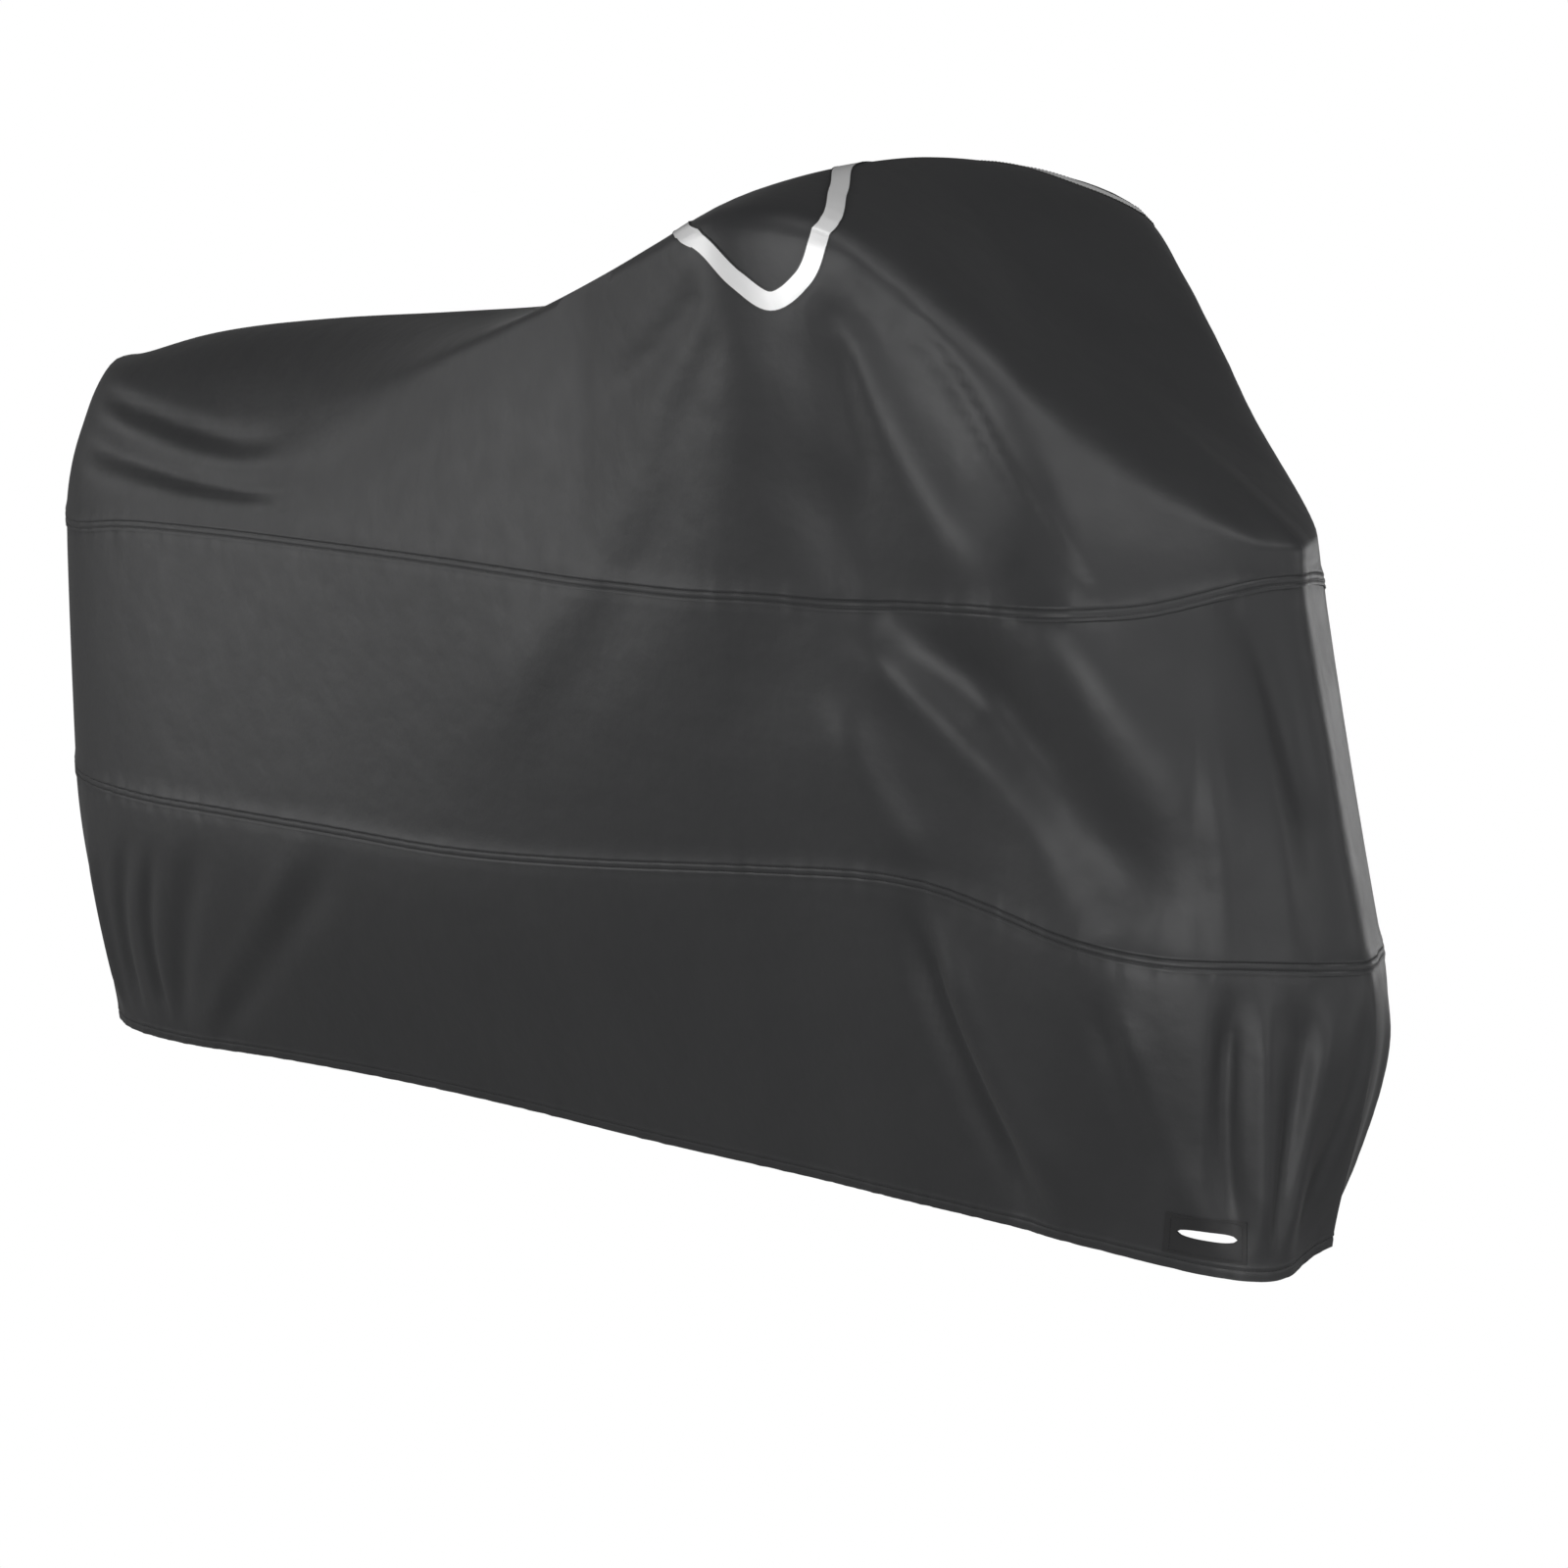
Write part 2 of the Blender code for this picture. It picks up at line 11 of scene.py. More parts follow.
import bmesh
import bpy
import numpy as np
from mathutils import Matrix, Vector
from mathutils.bvhtree import BVHTree


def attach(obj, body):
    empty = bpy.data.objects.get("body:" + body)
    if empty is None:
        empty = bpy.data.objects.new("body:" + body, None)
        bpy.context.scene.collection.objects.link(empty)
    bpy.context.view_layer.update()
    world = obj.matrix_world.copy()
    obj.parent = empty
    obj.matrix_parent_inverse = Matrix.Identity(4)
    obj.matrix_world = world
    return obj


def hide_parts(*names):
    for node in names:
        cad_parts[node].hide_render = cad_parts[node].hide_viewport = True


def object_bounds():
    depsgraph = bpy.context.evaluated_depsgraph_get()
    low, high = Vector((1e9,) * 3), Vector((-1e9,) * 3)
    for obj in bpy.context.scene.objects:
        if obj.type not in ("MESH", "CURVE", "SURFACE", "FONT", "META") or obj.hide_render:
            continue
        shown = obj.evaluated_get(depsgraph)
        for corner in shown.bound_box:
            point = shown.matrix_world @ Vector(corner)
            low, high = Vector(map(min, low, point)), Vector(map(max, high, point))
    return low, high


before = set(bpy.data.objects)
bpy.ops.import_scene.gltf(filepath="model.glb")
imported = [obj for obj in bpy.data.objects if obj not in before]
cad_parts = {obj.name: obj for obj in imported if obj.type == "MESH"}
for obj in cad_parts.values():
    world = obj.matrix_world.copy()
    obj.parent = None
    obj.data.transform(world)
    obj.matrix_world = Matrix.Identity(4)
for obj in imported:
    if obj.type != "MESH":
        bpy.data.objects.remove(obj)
cad_box = [list(corner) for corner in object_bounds()]
print("plain model's box:", cad_box)

# %% [markdown]
# ## The shape of the cloth
# A cover hangs from a spine (the line along its top) in ribs, like an upturned boat. Each rib
# leaves the spine on its own heading and drops over the shoulder and two seams to the hem.
# We could sculpt such a shape, or simulate it over a bicycle. A table of ribs is easier to
# keep true to size, and it gives every point an address: its station (metres round the
# girth from the rear) and its level (0 hem, 1 and 2 the seams, 3 shoulder, 4 spine).

# %% The ribs, in metres
HEM, LOWER_SEAM, UPPER_SEAM, SPINE = 0.0, 1.0, 2.0, 4.0
RIB_COLUMNS = (
    "spine_x", "spine_z", "heading", "shoulder_out", "shoulder_z", "upper_out", "upper_z",
    "lower_out", "lower_z", "hem_out", "hem_out_far", "hem_z",
)
RIBS = {
    "rear_centre":  (-.885,  .865, -90, .067, .857, .100, .703, .096, .354, .055, .050, .033),
    "rear_quarter": (-.868,  .869, -52, .082, .858, .133, .682, .132, .354, .087, .080, .025),
    "rear_corner":  (-.835,  .883, -22, .106, .840, .176, .652, .170, .334, .119, .115, .010),
    "rear_side":    (-.740,  .900,  -4, .128, .812, .195, .661, .192, .324, .131, .129, .006),
    "saddle_rear":  (-.560,  .918,   0, .146, .793, .204, .663, .201, .323, .127, .127, .012),
    "saddle_mid":   (-.360,  .931,   0, .168, .831, .214, .661, .207, .323, .120, .121, .014),
    "saddle_nose":  (-.150,  .947,   0, .208, .891, .231, .659, .211, .322, .116, .118, .012),
    "waist":        (.080,  .980,   0, .245, .967, .251, .655, .212, .335, .118, .122, .007),
    "bar_back":     (.270, 1.069,   0, .298, 1.019, .262, .654, .208, .351, .120, .125, .006),
    "bar":          (.385, 1.119,   2, .320, 1.052, .261, .657, .205, .361, .122, .126, .005),
    "bar_front":    (.418, 1.106,  14, .275, 1.044, .255, .656, .212, .367, .130, .128, .005),
    "stem_side":    (.440, 1.088,  30, .268, .962, .260, .659, .230, .367, .146, .134, .004),
    "fork_side":    (.460, 1.070,  44, .268, .895, .276, .661, .266, .350, .176, .150, .003),
    "fork_corner":  (.480, 1.052,  56, .278, .836, .338, .664, .339, .325, .235, .222, .001),
    "wheel_side":   (.500, 1.033,  66, .300, .789, .343, .668, .391, .313, .327, .300, -.002),
    "wheel_corner": (.520, 1.014,  75, .325, .755, .352, .684, .420, .313, .443, .360, -.007),
    "wheel_front":  (.540,  .995,  83, .347, .729, .347, .693, .434, .309, .412, .378, -.003),
    "front_centre": (.560,  .977,  90, .333, .728, .332, .694, .425, .306, .381, .381, .020),
}
SPINE_FULLNESS = 1.15           # how broadly the cloth rounds over the spine
# The far side's fuller shoulders at the front, as (shoulder_out, shoulder_z).
FAR_SHOULDERS = {
    "fork_side": (.278, .880),
    "fork_corner": (.300, .815),
    "wheel_side": (.325, .765),
    "wheel_corner": (.342, .739),
}
RUN_ON = 3.0                    # how soon the band's line runs on below its lower seam
STAND_SHIFT = (-.0031, .0, .0065)   # the plain model stands centred in its box
RIB_BLEND = 0.030               # how far along the girth one rib flows into the next
BLEND_STEPS = np.linspace(-2, 2, 9)

# %% Smooth curves through the ribs


def smooth_slopes(at, values):
    """Slopes of a curve that flows evenly through its points."""
    step = np.diff(at)[:, None]
    rise = np.diff(values, axis=0) / step
    slopes = np.zeros_like(values)
    slopes[1:-1] = (step[1:] * rise[:-1] + step[:-1] * rise[1:]) / (step[1:] + step[:-1])
    slopes[0], slopes[-1] = rise[0], rise[-1]
    return slopes


def cubic(start, end, start_slope, end_slope, t):
    """Cubic between two values, with its slopes given for a unit step."""
    return ((2 * t**3 - 3 * t**2 + 1) * start + (t**3 - 2 * t**2 + t) * start_slope
            + (3 * t**2 - 2 * t**3) * end + (t**3 - t**2) * end_slope)


def smooth_curve(at, values, query):
    slope = smooth_slopes(at, values)
    k = np.clip(np.searchsorted(at, query, side="right") - 1, 0, len(at) - 2)
    step = (at[k + 1] - at[k])[:, None]
    t = (query - at[k])[:, None] / step
    return cubic(values[k], values[k + 1], step * slope[k], step * slope[k + 1], t)


def rib_table(side):
    rows = np.array(list(RIBS.values()), float)
    table = dict(zip(RIB_COLUMNS, rows.T.copy()))
    table["spine_slope"] = np.gradient(table["spine_z"], table["spine_x"])
    if side == "far":
        table["hem_out"] = table["hem_out_far"]
        for name, shoulder in FAR_SHOULDERS.items():
            k = list(RIBS).index(name)
            table["shoulder_out"][k], table["shoulder_z"][k] = shoulder
    return table


def lower_seam_stations():
    rib = rib_table("near")
    heading = np.radians(rib["heading"])
    seam = np.stack([rib["spine_x"] + np.sin(heading) * rib["lower_out"],
                     -np.cos(heading) * rib["lower_out"], rib["lower_z"]], 1)
    return np.concatenate([[0], np.cumsum(np.linalg.norm(np.diff(seam, axis=0), axis=1))])


RIB_STATIONS = lower_seam_stations()
HALF_GIRTH = RIB_STATIONS[-1]
print("half girth, m:", round(float(HALF_GIRTH), 3))


def ribs_at(side, stations):
    """Rib values at any stations. Mirrored ribs past both ends keep the ends smooth."""
    table = rib_table(side)
    rows = np.stack(list(table.values()), 1)
    heading = list(table).index("heading")
    behind, ahead = rows[3:0:-1].copy(), rows[-2:-5:-1].copy()
    behind[:, heading] = -180 - behind[:, heading]
    ahead[:, heading] = 180 - ahead[:, heading]
    at = np.concatenate([-RIB_STATIONS[3:0:-1], RIB_STATIONS,
                         2 * HALF_GIRTH - RIB_STATIONS[-2:-5:-1]])
    all_rows = np.vstack([behind, rows, ahead])
    exact = smooth_curve(at, all_rows, stations)
    weights = np.exp(-BLEND_STEPS**2 / 2)
    soft = sum(weight * smooth_curve(at, all_rows, stations + step * RIB_BLEND)
               for weight, step in zip(weights, BLEND_STEPS)) / weights.sum()
    on_spine = [name.startswith("spine") for name in table]
    return dict(zip(table, np.where(on_spine, exact, soft).T))


# %% [markdown]
# Up each rib the cloth is taut, so its curve may not swing past its points. A slope that is
# the harmonic mean of its neighbours, and zero where they disagree, gives just that. At the
# lower seam alone, the band's line may run on into a skirt that turns back under it.

# %% Points on the cover's smooth surface


def taut_knots(rib):
    """Distance out and height at each whole level, with taut slopes between them."""
    out = [rib["hem_out"], rib["lower_out"], rib["upper_out"], rib["shoulder_out"],
           np.zeros_like(rib["hem_out"])]
    height = [rib["hem_z"], rib["lower_z"], rib["upper_z"], rib["shoulder_z"], rib["spine_z"]]
    knots = np.stack([np.stack(out, 1), np.stack(height, 1)], -1)
    rise = np.diff(knots, axis=1)
    before, after = rise[:, :-1], rise[:, 1:]
    same_way = before * after > 0
    total = np.where(same_way, before + after, 1.0)
    slopes = np.zeros_like(knots)
    slopes[:, 1:-1] = np.where(same_way, 2 * before * after / total, 0.0)
    run_on = np.clip(-RUN_ON * before[:, 0] / after[:, 0], 0, 1)
    slopes[:, 1] += run_on * after[:, 0]
    slopes[:, 0] = rise[:, 0]
    inward = -SPINE_FULLNESS * rib["shoulder_out"]
    slopes[:, -1, 0] = inward
    slopes[:, -1, 1] = inward * np.sin(np.radians(rib["heading"])) * rib["spine_slope"]
    return knots, slopes


def surface(side, stations, levels):
    """Points of the cloth without folds. Levels are one row for all stations, or one each."""
    stations = np.asarray(stations, float)
    levels = np.broadcast_to(levels, (len(stations), np.shape(levels)[-1]))
    rib = ribs_at(side, stations)
    knots, slopes = taut_knots(rib)
    k = np.clip(levels.astype(int), 0, 3)
    t = (levels - k)[..., None]
    start, end, start_slope, end_slope = [
        np.take_along_axis(table, (k + step)[..., None], 1)
        for table, step in ((knots, 0), (knots, 1), (slopes, 0), (slopes, 1))]
    profile = cubic(start, end, start_slope, end_slope, t)
    heading = np.radians(rib["heading"])[:, None]
    across = -1.0 if side == "near" else 1.0
    points = np.stack([rib["spine_x"][:, None] + np.sin(heading) * profile[..., 0],
                       across * np.cos(heading) * profile[..., 0], profile[..., 1]], -1)
    return points + STAND_SHIFT


# %% [markdown]
# ## Rows at true distances
# Seams and hems are millimetres wide, while the panels are tens of centimetres. So rows are
# placed by their real distance up the rib, packed close at a seam and spread out between.

# %% Levels from distances
LEVEL_SAMPLES = np.linspace(HEM, SPINE, 401)


def rib_lengths(side, stations):
    """Length up each rib from the hem to each sampled level."""
    points = surface(side, stations, LEVEL_SAMPLES)
    steps = np.linalg.norm(np.diff(points, axis=1), axis=-1)
    return np.concatenate([np.zeros((len(points), 1)), np.cumsum(steps, axis=1)], 1)


def length_to(lengths, level):
    return np.array([np.interp(level, LEVEL_SAMPLES, row) for row in lengths])


def levels_up(lengths, bottom, distances):
    """Levels of points at these distances above a level, one row of distances a station."""
    target = length_to(lengths, bottom)[:, None] + distances
    return np.array([np.interp(want, row, LEVEL_SAMPLES) for want, row in zip(target, lengths)])


def spread_rows(length, low_rows, high_rows, count):
    """Distances up a panel: given ones at both edges and even ones between."""
    low = np.broadcast_to(low_rows, (len(length), len(low_rows)))
    high = length[:, None] + np.broadcast_to(high_rows, (len(length), len(high_rows)))
    share = np.linspace(0, 1, count + 2)[1:-1]
    between = low[:, -1:] + (high[:, :1] - low[:, -1:]) * share
    return np.concatenate([low, between, high], 1)


def panel_rows(side, stations, bottom, top, low_rows, high_rows, count):
    """Each rib's lengths, the panel's height there, and the distances of its rows."""
    lengths = rib_lengths(side, stations)
    height = length_to(lengths, top) - length_to(lengths, bottom)
    return lengths, height, spread_rows(height, low_rows, high_rows, count)


def stations_from(runs):
    """Stations from (first, last, spacing) runs, rear centre to front centre."""
    parts = [np.linspace(a, b, max(1, round((b - a) / step)), endpoint=False)
             for a, b, step in runs]
    return np.concatenate(parts + [[HALF_GIRTH]])


# %% [markdown]
# ## Folds
# Pulled cloth folds in long soft waves that start at a pull point, such as a bar end, and
# die out. Each is drawn as a bent line with a width and a depth. The cloth is pushed along
# its own normal by a bell curve of the distance to that line.

# %% The folds
# Each fold: station and level of three points along its line, its width at the first and at
# the last one, and its height (a valley's is below zero), in metres.
LEVEL_HEIGHT = 0.33             # typical distance between two levels
FOLD_FADE = 0.28                # share of a fold's length over which each end dies out
FOLD_SAMPLES = 33
FOLD_REACH = 3                  # a fold ends this many widths beside its line
NEAR_FOLDS = {
    # The front fan: folds that run from the bar end down to the front.
    "fan_crest":     (1.57, 2.79, 1.62, 2.54, 1.76, 2.10, .023, .053, .013),
    "low_crest":     (1.64, 2.38, 1.87, 1.79, 2.11, 1.17, .051, .064, .018),
    "fan_valley":    (1.56, 2.42, 1.61, 2.03, 1.77, 1.59, .040, .050, -.011),
    "low_valley":    (1.65, 1.93, 1.82, 1.45, 2.00, 1.09, .044, .050, -.018),
    "fan_crease":    (1.60, 2.91, 1.73, 2.76, 1.94, 1.76, .011, .018, -.005),
    "edge_valley":   (2.07, 2.06, 2.11, 1.62, 2.14, 1.31, .030, .029, -.008),
    "thin_crest":    (1.58, 1.98, 1.68, 1.62, 1.88, 1.15, .022, .029, .009),
    "kink_crest":    (1.56, 1.77, 1.60, 1.32, 1.68, 1.04, .028, .035, .008),
    "side_hollow":   (1.53, 2.53, 1.50, 2.05, 1.44, 1.34, .050, .080, -.006),
    "apex_crease":   (1.58, 2.71, 1.59, 2.51, 1.62, 2.29, .012, .019, -.004),
    # The flank: long folds from the bar end down towards the rear.
    "long_ridge":    (1.46, 2.66, 1.24, 2.07, 0.93, 1.14, .030, .060, .005),
    "long_trough":   (1.48, 2.66, 1.31, 2.16, 1.09, 1.29, .035, .057, -.004),
    "grip_crease_a": (1.44, 2.80, 1.38, 2.65, 1.20, 2.48, .014, .020, -.006),
    "grip_crease_b": (1.47, 2.68, 1.42, 2.52, 1.33, 2.32, .012, .021, -.003),
    # The saddle: swags under its edge.
    "rear_swag":     (0.10, 2.52, 0.42, 2.44, 0.75, 2.32, .034, .044, -.011),
    "swag_high":     (0.12, 2.75, 0.39, 2.86, 0.64, 2.77, .026, .034, -.005),
    # The skirt: folds drawn in to the hem at the front and the rear.
    "skirt_trough":  (1.64, 1.00, 1.71, 0.48, 1.88, 0.00, .020, .034, -.017),
    "skirt_ridge":   (1.67, 0.97, 1.76, 0.49, 1.94, 0.06, .028, .040, .013),
    "front_ridge":   (1.90, 0.88, 1.95, 0.53, 2.01, 0.09, .017, .021, .010),
    "front_trough":  (1.87, 0.87, 1.94, 0.55, 1.99, 0.14, .018, .023, -.009),
    "rear_ridge":    (0.70, 0.96, 0.54, 0.44, 0.38, 0.03, .034, .019, .007),
    "rear_trough":   (0.76, 0.95, 0.57, 0.47, 0.41, 0.03, .030, .024, -.009),
    "back_trough":   (0.50, 0.93, 0.41, 0.49, 0.36, 0.02, .031, .015, -.006),
    "rear_tuck_a":   (0.40, 0.90, 0.33, 0.42, 0.34, 0.03, .014, .010, -.006),
    "rear_tuck_b":   (0.35, 0.92, 0.27, 0.45, 0.28, 0.03, .017, .011, -.006),
    "rear_tuck_c":   (0.23, 0.90, 0.21, 0.42, 0.22, 0.02, .017, .012, .007),
    "front_tuck_a":  (2.03, 0.97, 2.02, 0.54, 2.04, 0.01, .014, .012, -.009),
    "front_tuck_b":  (2.06, 0.97, 2.06, 0.51, 2.06, 0.00, .013, .010, .007),
    "front_tuck_c":  (2.10, 0.97, 2.09, 0.51, 2.06, 0.00, .013, .009, -.008),
    "front_tuck_d":  (2.13, 0.97, 2.11, 0.48, 2.08, 0.00, .013, .011, .006),
    "front_tuck_e":  (2.17, 0.97, 2.15, 0.54, 2.10, 0.00, .014, .011, -.007),
}
# The far side pulls in its own way.
FAR_FOLDS = {
    "fan_trough":    (1.56, 2.70, 1.66, 2.20, 1.92, 1.45, .025, .065, -.015),
    "fan_ridge":     (1.60, 2.72, 1.76, 2.30, 2.02, 1.55, .025, .070, .011),
    "fan_crease":    (1.58, 2.86, 1.72, 2.44, 1.90, 1.90, .011, .017, -.006),
    "middle_ridge":  (1.52, 2.30, 1.62, 1.66, 1.86, 1.12, .045, .060, .013),
    "side_hollow":   (1.46, 2.50, 1.43, 2.05, 1.40, 1.20, .050, .080, -.012),
    "long_ridge":    (1.42, 2.62, 1.16, 2.00, 0.82, 1.25, .035, .060, .008),
    "grip_crease_a": (1.45, 2.74, 1.36, 2.56, 1.18, 2.38, .014, .020, -.006),
    "rear_swag":     (0.10, 2.46, 0.38, 2.30, 0.66, 2.24, .035, .050, -.011),
    "skirt_trough":  (1.58, 0.96, 1.66, 0.50, 1.84, 0.05, .028, .042, -.014),
    "skirt_ridge":   (0.64, 0.92, 0.50, 0.46, 0.38, 0.05, .035, .028, .009),
    "rear_tuck_a":   (0.38, 0.92, 0.32, 0.45, 0.32, 0.03, .015, .011, -.007),
    "rear_tuck_b":   (0.26, 0.90, 0.25, 0.44, 0.26, 0.02, .015, .011, -.006),
    "front_tuck_a":  (1.98, 0.97, 1.99, 0.54, 1.98, 0.01, .016, .012, -.007),
    "front_tuck_b":  (2.06, 0.97, 2.05, 0.51, 2.03, 0.00, .014, .011, -.008),
    "front_tuck_c":  (2.12, 0.97, 2.10, 0.50, 2.07, 0.00, .014, .011, .006),
}
FOLDS = {"near": NEAR_FOLDS, "far": FAR_FOLDS}


def smoothstep(x):
    x = np.clip(x, 0, 1)
    return x * x * (3 - 2 * x)


def fold_height(side, stations, levels):
    """How far the folds push the cloth out at each (station, level) of a grid."""
    place = np.stack([np.broadcast_to(stations[:, None], levels.shape),
                      levels * LEVEL_HEIGHT], -1)
    height = np.zeros(levels.shape)
    t = np.linspace(0, 1, FOLD_SAMPLES)
    for *line, first_width, last_width, depth in FOLDS[side].values():
        start, middle, end = np.reshape(line, (3, 2)) * (1, LEVEL_HEIGHT)
        control = 2 * middle - (start + end) / 2
        path = ((1 - t)**2)[:, None] * start + (2 * t * (1 - t))[:, None] * control
        path = path + (t**2)[:, None] * end
        reach = FOLD_REACH * max(first_width, last_width)
        near_it = ((place > path.min(0) - reach) & (place < path.max(0) + reach)).all(-1)
        here = place[near_it]
        leg = np.diff(path, axis=0)
        along = ((here[:, None] - path[:-1]) * leg).sum(-1) / (leg**2).sum(-1)
        along = np.clip(along, 0, 1)
        gap = np.linalg.norm(here[:, None] - path[:-1] - along[..., None] * leg, axis=-1)
        nearest = gap.argmin(1)
        share = (nearest + along[np.arange(len(here)), nearest]) / (FOLD_SAMPLES - 1)
        width = first_width + (last_width - first_width) * share
        ends = smoothstep(share / FOLD_FADE) * smoothstep((1 - share) / FOLD_FADE)
        height[near_it] += depth * ends * np.exp(-(gap.min(1) / width)**2)
    return height


# %% [markdown]
# ## A sheet from a grid of points
# Every panel is built the same way: a grid of points, pushed by the folds, then by the small
# relief of its seams, and last given its thickness by a Solidify modifier. The same step
# writes a UV map in metres, so that the weave has the right size on every panel.

# %% Helpers for meshes
CLOTH_THICKNESS = 0.0012
SHARP_ANGLE = math.radians(50)  # a steeper edge, such as a sheet's rim, is shaded sharp


def grid_quads(columns, rows, closed):
    """Corner numbers of each cell, counter-clockwise from outside."""
    ids = np.arange(columns * rows).reshape(columns, rows)
    following = np.roll(ids, -1, axis=0)
    last = columns if closed else columns - 1
    return np.stack([ids[:last, :-1], following[:last, :-1], following[:last, 1:],
                     ids[:last, 1:]], -1).reshape(-1, 4)


def cell_facing(points, quads):
    """A vector along each cell's normal, twice as long as the cell is large."""
    corner = points[quads]
    return np.cross(corner[:, 2] - corner[:, 0], corner[:, 3] - corner[:, 1])


def flat_area(points, quads):
    return float(np.linalg.norm(cell_facing(points, quads), axis=1).sum() / 2)


def unit(vectors):
    return vectors / np.linalg.norm(vectors, axis=-1, keepdims=True)


def point_normals(points, quads):
    facing = cell_facing(points, quads)
    normals = np.zeros_like(points)
    for k in range(4):
        np.add.at(normals, quads[:, k], facing)
    length = np.linalg.norm(normals, axis=1, keepdims=True)
    return normals / np.where(length > 1e-12, length, 1.0)


def mesh_object(name, points, faces, uv=None):
    """A smooth mesh at the origin. Its UV map is given for each point, in metres."""
    mesh = bpy.data.meshes.new(name)
    mesh.from_pydata(np.asarray(points, float).tolist(), [], np.asarray(faces).tolist())
    if uv is not None:
        layer = mesh.uv_layers.new(name="cut")
        corners = np.array([loop.vertex_index for loop in mesh.loops])
        layer.data.foreach_set("uv", np.asarray(uv)[corners].astype(np.float32).ravel())
    made = bpy.data.objects.new(name, mesh)
    bpy.context.collection.objects.link(made)
    return made


def weld(item, distance=1e-6):
    """Merge points that lie together, as where a grid closes to one point."""
    shape = bmesh.new()
    shape.from_mesh(item.data)
    bmesh.ops.remove_doubles(shape, verts=shape.verts, dist=distance)
    bmesh.ops.dissolve_degenerate(shape, edges=shape.edges, dist=distance)
    shape.to_mesh(item.data)
    shape.free()


def finish_mesh(item):
    """Turn the modifiers' result into the object's own plain mesh."""
    graph = bpy.context.evaluated_depsgraph_get()
    graph.update()
    done = bpy.data.meshes.new_from_object(item.evaluated_get(graph), depsgraph=graph)
    item.modifiers.clear()
    item.data = done
    return item


def thicken(item, thickness):
    solid = item.modifiers.new("thickness", "SOLIDIFY")
    solid.thickness = thickness
    solid.offset = -1
    solid.use_rim = True
    finish_mesh(item)
    item.data.shade_smooth()
    item.data.set_sharp_from_angle(angle=SHARP_ANGLE)
    print(item.name, len(item.data.polygons), "faces")
    return item


# %% [markdown]
# ## Relief of the seams
# Where two panels meet, the upper one is lapped over the lower one and sewn down with two
# rows of stitches. That makes three lines: the edge, which is a small step, and two grooves
# where the thread pulls the cloth in. The pull also puckers the cloth a little beside them.

# %% Seam relief
LAP_BELOW = 0.004               # how far the upper panel reaches below the seam line
LAP_ABOVE = 0.009               # how far the lower panel reaches up behind it
LAP_LIFT = 0.0016               # how high the upper panel lies on the lower one
STITCH_ROWS = (0.0005, 0.0078)  # distances of the two rows above the seam line
GROOVE_DEPTH = 0.0011
GROOVE_WIDTH = 0.0012
PUCKER_DEPTH = 0.0004
PUCKER_REACH = 0.016
PUCKER_MIDDLE = 0.006
PUCKER_WAVES = ((.031, 1.0), (.019, .7), (.047, .8), (.012, .4))    # length and share
LAP_SLOPE = 0.010               # how far the lap's step is spread up the upper panel
TUCK_DEPTH = 0.0006             # how far the lower panel lies back under the lap
TUCK_SLOPE = 0.004
SEAM_LOW_ROWS = np.linspace(-LAP_BELOW, 0.013, 18)
SEAM_HIGH_ROWS = np.linspace(-0.006, LAP_ABOVE, 5)


def pucker(stations, seed):
    """Small waves along a seam, from sines whose lengths don't match."""
    return sum(share * np.sin(2 * np.pi * stations / length + seed * (k + 1.3))
               for k, (length, share) in enumerate(PUCKER_WAVES))


def lapped_edge_relief(distance, stations, seed):
    """Outward shift of an upper panel near its sewn lower edge."""
    lift = LAP_LIFT * (1 - smoothstep((distance - LAP_ABOVE) / LAP_SLOPE))
    grooves = sum(np.exp(-((distance - row) / GROOVE_WIDTH)**2) for row in STITCH_ROWS)
    beside = np.exp(-((distance - PUCKER_MIDDLE) / PUCKER_REACH)**2)
    waves = pucker(stations, seed)[:, None] * beside
    return lift - GROOVE_DEPTH * grooves + PUCKER_DEPTH * waves


def covered_edge_relief(above, stations, seed):
    """Shift of a lower panel near its upper edge, which the upper panel covers."""
    tuck = TUCK_DEPTH * smoothstep((above - SEAM_HIGH_ROWS[0]) / TUCK_SLOPE)
    waves = pucker(stations, seed)[:, None] * np.exp(-(above / PUCKER_REACH)**2)
    return PUCKER_DEPTH * waves - tuck


# %% [markdown]
# ## The middle band
# The band is the simplest panel: a closed ring between the two seams. The columns run from
# the rear centre along the near side to the front centre, and back along the far side.

# %% Columns round the girth


def both_sides(stations, grid):
    """Join a near and a far grid into one ring; the two centre columns are the near side's."""
    near, far = grid("near", stations), grid("far", stations[-2:0:-1])
    return [np.concatenate(pair) for pair in zip(near, far)]


def ring_uv(stations, distance):
    """Flat place of each point, in metres: along the girth and up the panel."""
    along = np.concatenate([stations, 2 * HALF_GIRTH - stations[-2:0:-1]])
    return np.stack([np.broadcast_to(along[:, None], distance.shape), distance], -1)


# %% Make the middle band
BAND_RUNS = ((0, .55, .008), (.55, 1.40, .012), (1.40, HALF_GIRTH, .0075))
BAND_ROWS = 30


def band_grid(side, stations):
    lengths, height, distance = panel_rows(side, stations, LOWER_SEAM, UPPER_SEAM,
                                           SEAM_LOW_ROWS, SEAM_HIGH_ROWS, BAND_ROWS)
    levels = levels_up(lengths, LOWER_SEAM, distance)
    relief = (lapped_edge_relief(distance, stations, 1.0)
              + covered_edge_relief(distance - height[:, None], stations, 2.0))
    return (surface(side, stations, levels), fold_height(side, stations, levels), relief,
            distance)


